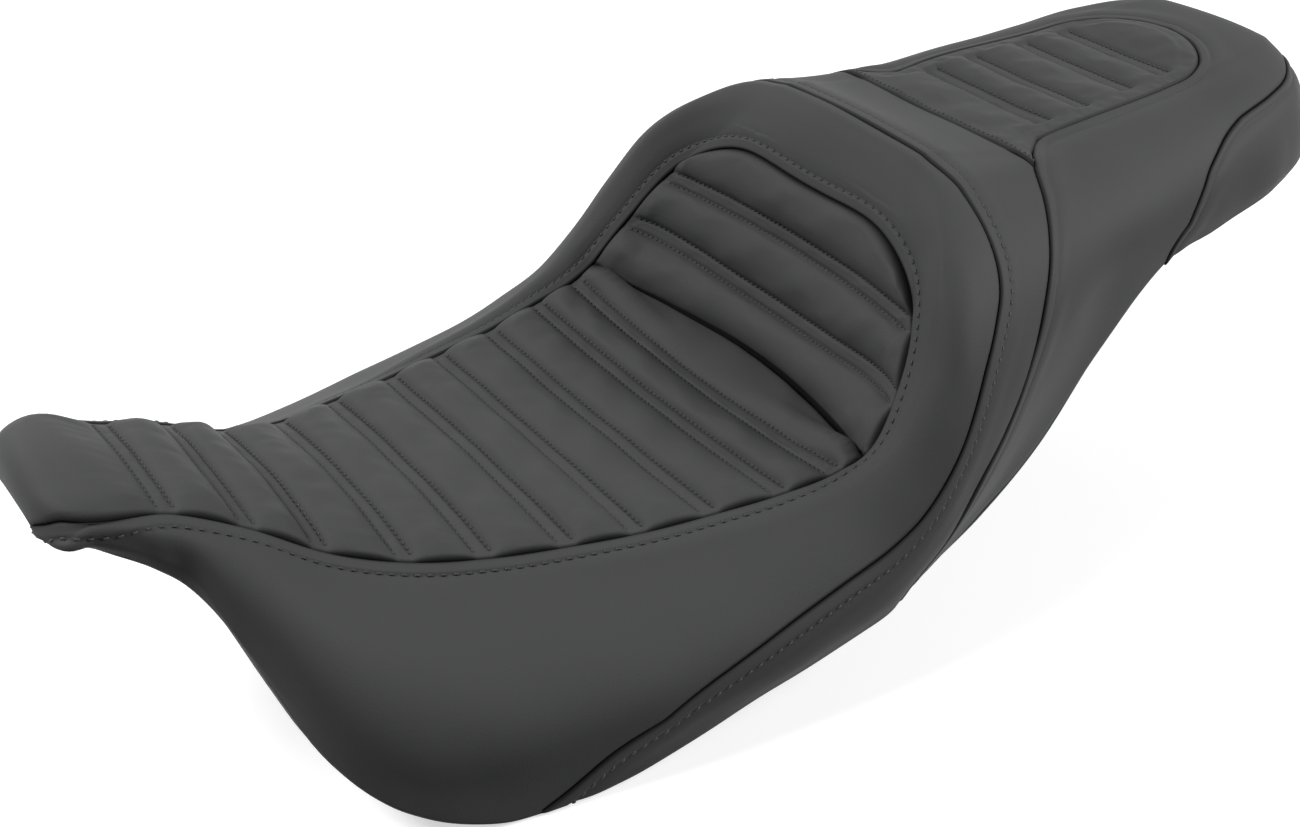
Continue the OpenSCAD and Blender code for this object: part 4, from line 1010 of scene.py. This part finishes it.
class SEAT_OT_passenger_insert(Operator):
    """Makes the passenger's channelled insert"""
    bl_idname = "seat.passenger_insert"
    bl_label = "Passenger's insert"

    def execute(self, context):
        sizes = context.scene.seat_padding
        radius, strip = millimetres(sizes.seam_radius), millimetres(sizes.strip)
        turn = np.linspace(0, np.pi / 2, 64)[1:]
        round_start = PASSENGER_END - PASSENGER_ROUND
        straight = PASSENGER_FRONT + (round_start - PASSENGER_FRONT) * dense_ends(130, 0.3)
        y = np.concatenate([straight, round_start + PASSENGER_ROUND * np.sin(turn)])
        half = np.maximum(outline_half(y), 0.004)
        v = half[:, None] * (2 * dense_ends(84, 0.8) - 1)[None, :]
        y = y[:, None] * np.ones_like(v)
        p, n = skin(y, v), skin_normal(y, v)
        s = column_lengths(p[:, 42:43]) * np.ones_like(y)
        side = np.minimum(seam_distance(p, "first"), seam_distance(p, "last"))
        front = seam_distance(p, "front")
        channels = [PASSENGER_FRONT, *PASSENGER_CHANNELS, PASSENGER_END]
        at = [np.interp(channel, y[:, 0], s[:, 0]) for channel in channels]
        height = np.zeros_like(s)
        edge = np.sqrt(1 - (1 - np.clip(side / 16, 0, 1)) ** 2)
        crest = millimetres(sizes.passenger_crest)
        for a, b in zip(at[:-1], at[1:]):
            first, last = (strip / 2 if a > 0 else 0), (strip / 2 if b < at[-1] else 0)
            u = np.clip((s - a - first) / (b - a - first - last), 0, 1)
            height += crest * (4 * u * (1 - u)) ** 0.7
        over = smooth(side, 9, 15)
        flat = crest * 0.62
        height = height * over + flat * (1 - over)
        stitched = [channel + beside for channel in at[1:-1] for beside in (-strip / 2, strip / 2)]
        rows = sum(dip(s, row, ROW_WIDTH) for row in stitched)
        height = height * edge - millimetres(sizes.groove) * rows * over
        height += wander(p, 5, 50, 0.7) * smooth(side, 3, 20)
        height -= rolled(side, radius) + rolled(front, radius)
        loose = 9 * (over < 0.5)
        free = np.minimum.reduce([side, front] + [np.abs(s - row) + loose for row in stitched])
        height += settled(p, n, height, free)
        # Painted shade for the vinyl's colour along the stitch rows and in the seams.
        groove = np.clip(CHANNEL_PAINTED_SHADE * rows * over + painted_seam_shade(side, front), 0, 1)
        cover_panel("passenger_top_cover", "passenger_top_panel", p, n, height, groove, s=s,
                    stitched=stitched, side=side, front=front)
        return {"FINISHED"}


class SEAT_OT_smooth_panels(Operator):
    """Makes the border, the band round the bolster, the passenger's sides and the rear skirt"""
    bl_idname = "seat.smooth_panels"
    bl_label = "Smooth panels"

    def execute(self, context):
        def border_path(a, b, s):
            """From the rider's edge, put on the back insert's own arch, to the hem and the bolster."""
            y0, v0 = on_arch(a[:, 0], a[:, 1])
            return y0[:, None] + (b[:, :1] - y0[:, None]) * s, v0[:, None] + (b[:, 1:] - v0[:, None]) * s

        inner = [(y, AT_EDGE) for y in NOSE_STATIONS] + RIDER_EDGE
        outer = [(y, 1) for y in HEM_STATIONS] + BOLSTER_SEAM
        smooth_panel("driver_border_cover", "driver_border_panel",
                     half_strip(inner, outer, [0, 13, 26, 29], 2.7, 74, 0.8, border_path),
                     (7.4, 0.8), (11, 70, 1.0, 12, 30), True)
        band = BAND_SIDE + [(135, 0.4), (135, 0.2), (135, 0)]
        smooth_panel("middle_band_cover", "middle_band_panel",
                     half_strip(BOLSTER_SEAM, band, [0, 13, 16], 2.7, 66, 0.8),
                     (7.8, 0.8), (12, 60, 1.0, 12, 30), False)
        smooth_panel("passenger_side_cover", "passenger_side_panel",
                     half_strip(BAND_SIDE + OUTLINE[1:], SKIRT_SEAM, [0, 13, 23], 2.9, 62, 0.8),
                     (6.6, 0.7), (13, 60, 0.9, 10, 26), False)
        hem = [(y, 1) for y in SKIRT_HEM]
        smooth_panel("rear_skirt_cover", "rear_skirt_panel",
                     half_strip(SKIRT_SEAM, hem, [0, 13, 23], 2.9, 44, 0.75, tail_path),
                     (5.2, 0.6), None, True, ("first",))
        return {"FINISHED"}


def on_arch(y, v):
    """Puts the points behind the arch's foot on the arch. With t the direction from (y - foot) / rise and
    (v / 0.4)^3, the station is foot + rise sin(t) and the place is 0.4 cos(t)^(1/3)."""
    t = np.arctan2(np.maximum(y - ARCH_FOOT, 0) / ARCH_RISE, (v / AT_EDGE) ** 3)
    behind = y > ARCH_FOOT
    return (np.where(behind, ARCH_FOOT + ARCH_RISE * np.sin(t), y),
            np.where(behind, AT_EDGE * np.cbrt(np.maximum(np.cos(t), 0)), v))


# How much of the pitch from stitch to stitch is thread: in the channels and in the topstitching.
CHANNEL_STITCH, TOP_STITCH = 0.56, 0.66


def lay_stitches(name, lines, normals, pitch, share, thread):
    """A piece of threads along lines, of which each covers its share of the pitch."""
    points, quads = stitch_pieces(lines, normals, pitch * share, pitch * (1 - share), thread)
    write_mesh(name, points, quads, get_material("seat_thread"))


class SEAT_OT_stitching(Operator):
    """Lays the stitches along the channels and beside the seams"""
    bl_idname = "seat.stitching"
    bl_label = "Stitching"

    def execute(self, context):
        sizes = context.scene.seat_stitching
        pitch, thread = millimetres(sizes.channel_pitch), millimetres(sizes.channel_thread)
        for name, gap in (("driver_seat_cover", 4.0), ("driver_back_cover", 4.0),
                          ("passenger_top_cover", 12.0)):
            cover = COVER[name]
            lines, normals = [], []
            for row in cover["stitched"]:
                at = row * np.ones(cover["s"].shape[1])
                for field, into in ((cover["q"], lines), (cover["n"], normals)):
                    into.append(row_points(field, cover["s"], at, cover["side"], gap))
            if name == "passenger_top_cover":
                front = cover["front"].T
                lines.append(line_at(cover["q"].swapaxes(0, 1), front, 3.2))
                normals.append(line_at(cover["n"].swapaxes(0, 1), front, 3.2))
            lay_stitches(name.replace("cover", "stitches"), lines, normals, pitch, CHANNEL_STITCH, thread)
        pitch, thread = millimetres(sizes.top_pitch), millimetres(sizes.top_thread)
        for name, at in (("driver_border_cover", 7.6), ("middle_band_cover", 8.0)):
            cover = COVER[name]
            lines, normals = [[line_at(cover[key], cover["first"], at)] for key in ("q", "n")]
            lay_stitches(name.replace("cover", "topstitch"), lines, normals, pitch, TOP_STITCH, thread)
        return {"FINISHED"}


class SEAT_OT_hem(Operator):
    """Folds the cover's hem round the edge of the seat pan"""
    bl_idname = "seat.hem"
    bl_label = "Hem"

    def execute(self, context):
        p = hem_loop()
        piece = ring_piece("cover_hem_fold", p, VINYL, get_material("seat_vinyl"))
        paint_shade_in_grooves(piece, np.zeros(p.shape[:2]))
        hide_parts("cover_hem")
        return {"FINISHED"}


class SEAT_OT_pan(Operator):
    """Moulds the seat pan"""
    bl_idname = "seat.pan"
    bl_label = "Seat pan"

    def execute(self, context):
        y = (PAN_FRONT + (PAN_REAR - PAN_FRONT) * np.linspace(0, 1, 200))[:, None]
        side, shoulder = np.linspace(0.75, 1, 12), np.linspace(0.5, 0.73, 12)
        w = np.concatenate([-side[::-1], -shoulder[::-1], np.linspace(-0.44, 0.44, 15), shoulder, side])
        w = w[None, :]
        piece = two_faced_piece("seat_pan_moulding", pan_point(y, w), pan_point(y, w, -PAN_WALL),
                                get_material("seat_pan_plastic"))
        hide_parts("seat_pan")
        edge = piece.modifiers.new("rounded_edges", "BEVEL")
        edge.width, edge.segments = 0.0008, 2
        edge.limit_method, edge.angle_limit = "ANGLE", math.radians(60)
        return {"FINISHED"}


# Depths of the foam buns below the cover: plain, what is added below the sewn padding, and what is added
# beneath the crease. Then the buns' gap above the pan and their edge as a place on the cover.
BUN_DEPTH, SEWN_DEPTH, CREASE_DEPTH, PAN_GAP, BUN_EDGE = 3.4, 4.4, 8.0, 0.8, 0.985
# The sewn padding's faces below the cover, outer and inner.
PADDING_OUTER, PADDING_INNER = 1.6, 5.6


def foam_place(v):
    """Place on the pan below a place on the cover."""
    return np.sign(v) * np.interp(np.abs(v), [0, AT_EDGE, AT_RIM, 0.69, BUN_EDGE], [0, 0.45, 0.58, 0.7, 1])


def foam_bun(name, node, outer_y, inner_y):
    """A bun between the cover and the pan. It lies deeper below the sewn padding, and deeper still beneath
    the crease."""
    v = (BUN_EDGE * np.linspace(-1, 1, 91))[None, :]
    y, low = outer_y[:, None] * np.ones_like(v), inner_y[:, None] * np.ones_like(v)
    behind = y > ARCH_FOOT + ARCH_RISE
    half = np.where(behind, np.where((y > 145) & (y < PASSENGER_END), outline_half(y), 0), AT_EDGE)
    half = np.where(y < NOSE_Y + 30, 0, half)
    under = smooth(half + 0.03 - np.abs(v), 0, 0.03)
    depth = BUN_DEPTH + SEWN_DEPTH * under + CREASE_DEPTH * under * dip(y, crease_at(v), 14)
    outer = skin(y, v) - skin_normal(y, v) * depth[..., None]
    inner = pan_point(low, foam_place(v), PAN_GAP)
    piece = two_faced_piece(name, outer, inner, get_material("seat_foam"))
    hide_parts(node)


class SEAT_OT_foam(Operator):
    """Makes the two foam buns and the sewn padding behind the channelled inserts"""
    bl_idname = "seat.foam"
    bl_label = "Foam"

    def execute(self, context):
        outer = np.concatenate([np.linspace(-420, -60, 110), np.linspace(-58, 88, 74)])
        foam_bun("driver_foam_bun", "driver_foam", outer,
                 np.where(outer > -380, outer, PAN_FRONT + (outer + 420) * 0.55))
        outer = np.linspace(88.8, 396, 120)
        foam_bun("passenger_foam_bun", "passenger_foam", outer,
                 np.where(outer < 345, outer, 345 + (outer - 345) * 45 / 51))
        for cover, name, node, first, last in (
                ("driver_seat_cover", "driver_seat_sew_foam", "driver_seat_padding", 20, -8),
                ("driver_back_cover", "driver_back_sew_foam", "driver_back_padding", 8, -10),
                ("passenger_top_cover", "passenger_sew_foam", "passenger_padding", 22, -22)):
            grids = COVER[cover]
            crop = (slice(first, last, 2), slice(14, -14, 2))
            p, n, height = grids["p"][crop], grids["n"][crop], grids["height"][crop][..., None]
            outer, inner = p + n * (height - PADDING_OUTER), p - n * PADDING_INNER
            piece = two_faced_piece(name, outer, inner, get_material("seat_sew_foam"))
            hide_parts(node)
        return {"FINISHED"}


# Carried-over CAD nodes with their material and the width of their rounded edges in metres.
FITTINGS = ((("front_tongue", "rear_tab"), "seat_steel", 0.0005),
            (("bracket_rivets", "bumper_rivets"), "seat_zinc", 0.0009),
            (("bracket_washers", "bumper_washers"), "seat_zinc", 0.0003),
            (("frame_bumpers", "fender_bumpers"), "seat_rubber", 0.0014),
            (("fender_felt",), "seat_felt", 0.0009),
            (("staples",), "seat_zinc", 0.0002))


class SEAT_OT_fittings(Operator):
    """Finishes the brackets, rivets, washers, rubber rests, felt and staples"""
    bl_idname = "seat.fittings"
    bl_label = "Fittings"

    def execute(self, context):
        for names, material_name, bevel in FITTINGS:
            finish_nodes(names, material_name, bevel)
        return {"FINISHED"}


# Area lamps: name, place and side in metres, and power in watts. They point at LIT_POINT. Then the share
# of the world's white that lights the seat, and the camera's place.
LIT_POINT = (0, 0, 0.1)
LAMPS = (("key", (1.7, 2.1, 1.7), 1.4, 98), ("front", (-0.5, -2.0, 2.4), 1.2, 90),
         ("far_side", (-2.2, -0.6, 1.6), 1.3, 16))
AMBIENT = 0.03
CAMERA_PLACE = (0.762, -0.575, 0.655)


def seen_directly(tree):
    """1 for the camera's rays and for those that a reflection or glass sends on."""
    path = tree.nodes.new("ShaderNodeLightPath")
    camera, glossy, through = [path.outputs[f"Is {kind} Ray"]
                               for kind in ("Camera", "Glossy", "Transmission")]
    return number(tree, "MAXIMUM", camera, number(tree, "MAXIMUM", glossy, through))


def floor_material():
    """A floor that looks white to the camera, keeps the seat's shadow, sends little light back up, and can
    be seen through from below."""
    made = bpy.data.materials.new("stage_floor")
    made.use_nodes = True
    tree = made.node_tree
    shader = tree.nodes["Principled BSDF"]
    seen = seen_directly(tree)
    colour = mixed(tree, seen, (0.09, 0.09, 0.09, 1), (0.62, 0.62, 0.62, 1))
    tree.links.new(colour, shader.inputs["Base Color"])
    place = add(tree, "ShaderNodeTexCoord").outputs["Object"]
    away = add(tree, "ShaderNodeVectorMath", [(0, place)], operation="LENGTH").outputs["Value"]
    glow = add(tree, "ShaderNodeMapRange", [("Value", away), ("From Min", 0.6), ("From Max", 2.2),
                                            ("To Min", 0.6), ("To Max", 1.0)],
               interpolation_type="SMOOTHSTEP").outputs["Result"]
    tree.links.new(number(tree, "MULTIPLY", seen, glow), shader.inputs["Emission Strength"])
    shader.inputs["Emission Color"].default_value = (1, 1, 1, 1)
    shader.inputs["Roughness"].default_value = 0.9
    shader.inputs["Specular IOR Level"].default_value = 0.1
    below = tree.nodes.new("ShaderNodeNewGeometry").outputs["Backfacing"]
    clear = tree.nodes.new("ShaderNodeBsdfTransparent").outputs[0]
    choice = add(tree, "ShaderNodeMixShader", [(0, below), (1, shader.outputs[0]), (2, clear)])
    tree.links.new(choice.outputs[0], tree.nodes["Material Output"].inputs["Surface"])
    return made


class SEAT_OT_stage(Operator):
    """Makes the floor, the light and the camera"""
    bl_idname = "seat.stage"
    bl_label = "Stage"

    def execute(self, context):
        stage = context.scene.seat_stage
        low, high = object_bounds()
        half = stage.floor_size / 2
        mesh = bpy.data.meshes.new("floor")
        mesh.from_pydata([(-half, -half, low[2]), (half, -half, low[2]), (half, half, low[2]),
                          (-half, half, low[2])], [], [(0, 1, 2, 3)])
        floor = bpy.data.objects.new("floor", mesh)
        context.scene.collection.objects.link(floor)
        floor.data.materials.append(floor_material())
        floor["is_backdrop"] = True
        lights = []
        for name, place, size, power in LAMPS:
            lamp = bpy.data.lights.new(name, "AREA")
            lamp.energy, lamp.size = power, size
            light = bpy.data.objects.new(name, lamp)
            light.location = place
            light.rotation_euler = (Vector(LIT_POINT) - Vector(place)).to_track_quat("-Z", "Y").to_euler()
            context.scene.collection.objects.link(light)
            lights.append(light)
        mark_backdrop(*lights)
        world = context.scene.world or bpy.data.worlds.new("world")
        context.scene.world = world
        world.use_nodes = True
        tree = world.node_tree
        tree.nodes.clear()
        seen = number(tree, "MULTIPLY", seen_directly(tree), 1 - AMBIENT)
        back = add(tree, "ShaderNodeBackground", [("Color", (1, 1, 1, 1)),
                                                  ("Strength", number(tree, "ADD", seen, AMBIENT))])
        out = tree.nodes.new("ShaderNodeOutputWorld")
        tree.links.new(back.outputs[0], out.inputs["Surface"])
        azimuth, elevation = stage.azimuth, stage.elevation
        level = math.cos(elevation)
        away = Vector((math.sin(azimuth) * level, -math.cos(azimuth) * level, math.sin(elevation)))
        lens = bpy.data.cameras.new("camera")
        lens.lens, lens.sensor_width, lens.sensor_fit = stage.lens, 36, "HORIZONTAL"
        camera = bpy.data.objects.new("camera", lens)
        camera.location = CAMERA_PLACE
        camera.rotation_euler = away.to_track_quat("Z", "Y").to_euler()
        context.scene.collection.objects.link(camera)
        context.scene.camera = camera
        context.scene.view_settings.view_transform = "Standard"
        return {"FINISHED"}


class SEAT_PT_panel(Panel):
    """Lists the steps of the seat."""
    bl_label = "Seat"
    bl_idname = "SEAT_PT_panel"
    bl_space_type = "VIEW_3D"
    bl_region_type = "UI"
    bl_category = "Seat"

    def draw(self, context):
        layout = self.layout
        for setting in GROUPS:
            box = layout.box()
            group = getattr(context.scene, setting)
            for name in group.__annotations__:
                box.prop(group, name)
        for step in STEPS:
            layout.operator(step.bl_idname)


STEPS = (SEAT_OT_rider_inserts, SEAT_OT_passenger_insert, SEAT_OT_smooth_panels, SEAT_OT_stitching,
         SEAT_OT_hem, SEAT_OT_pan, SEAT_OT_foam, SEAT_OT_fittings, SEAT_OT_stage)
GROUPS = {"seat_looks": SeatLooks, "seat_padding": SeatPadding, "seat_stitching": SeatStitching,
          "seat_stage": SeatStage}


def register():
    """Registers the settings, the operators and the panel."""
    for name, group in GROUPS.items():
        bpy.utils.register_class(group)
        setattr(bpy.types.Scene, name, PointerProperty(type=group))
    for step in (*STEPS, SEAT_PT_panel):
        bpy.utils.register_class(step)


def unregister():
    """Takes them all away again."""
    for step in (SEAT_PT_panel, *STEPS):
        bpy.utils.unregister_class(step)
    for name, group in GROUPS.items():
        delattr(bpy.types.Scene, name)
        bpy.utils.unregister_class(group)


def main():
    register()
    for step in STEPS:
        area, name = step.bl_idname.split(".")
        getattr(getattr(bpy.ops, area), name)()


if __name__ == "__main__":
    main()
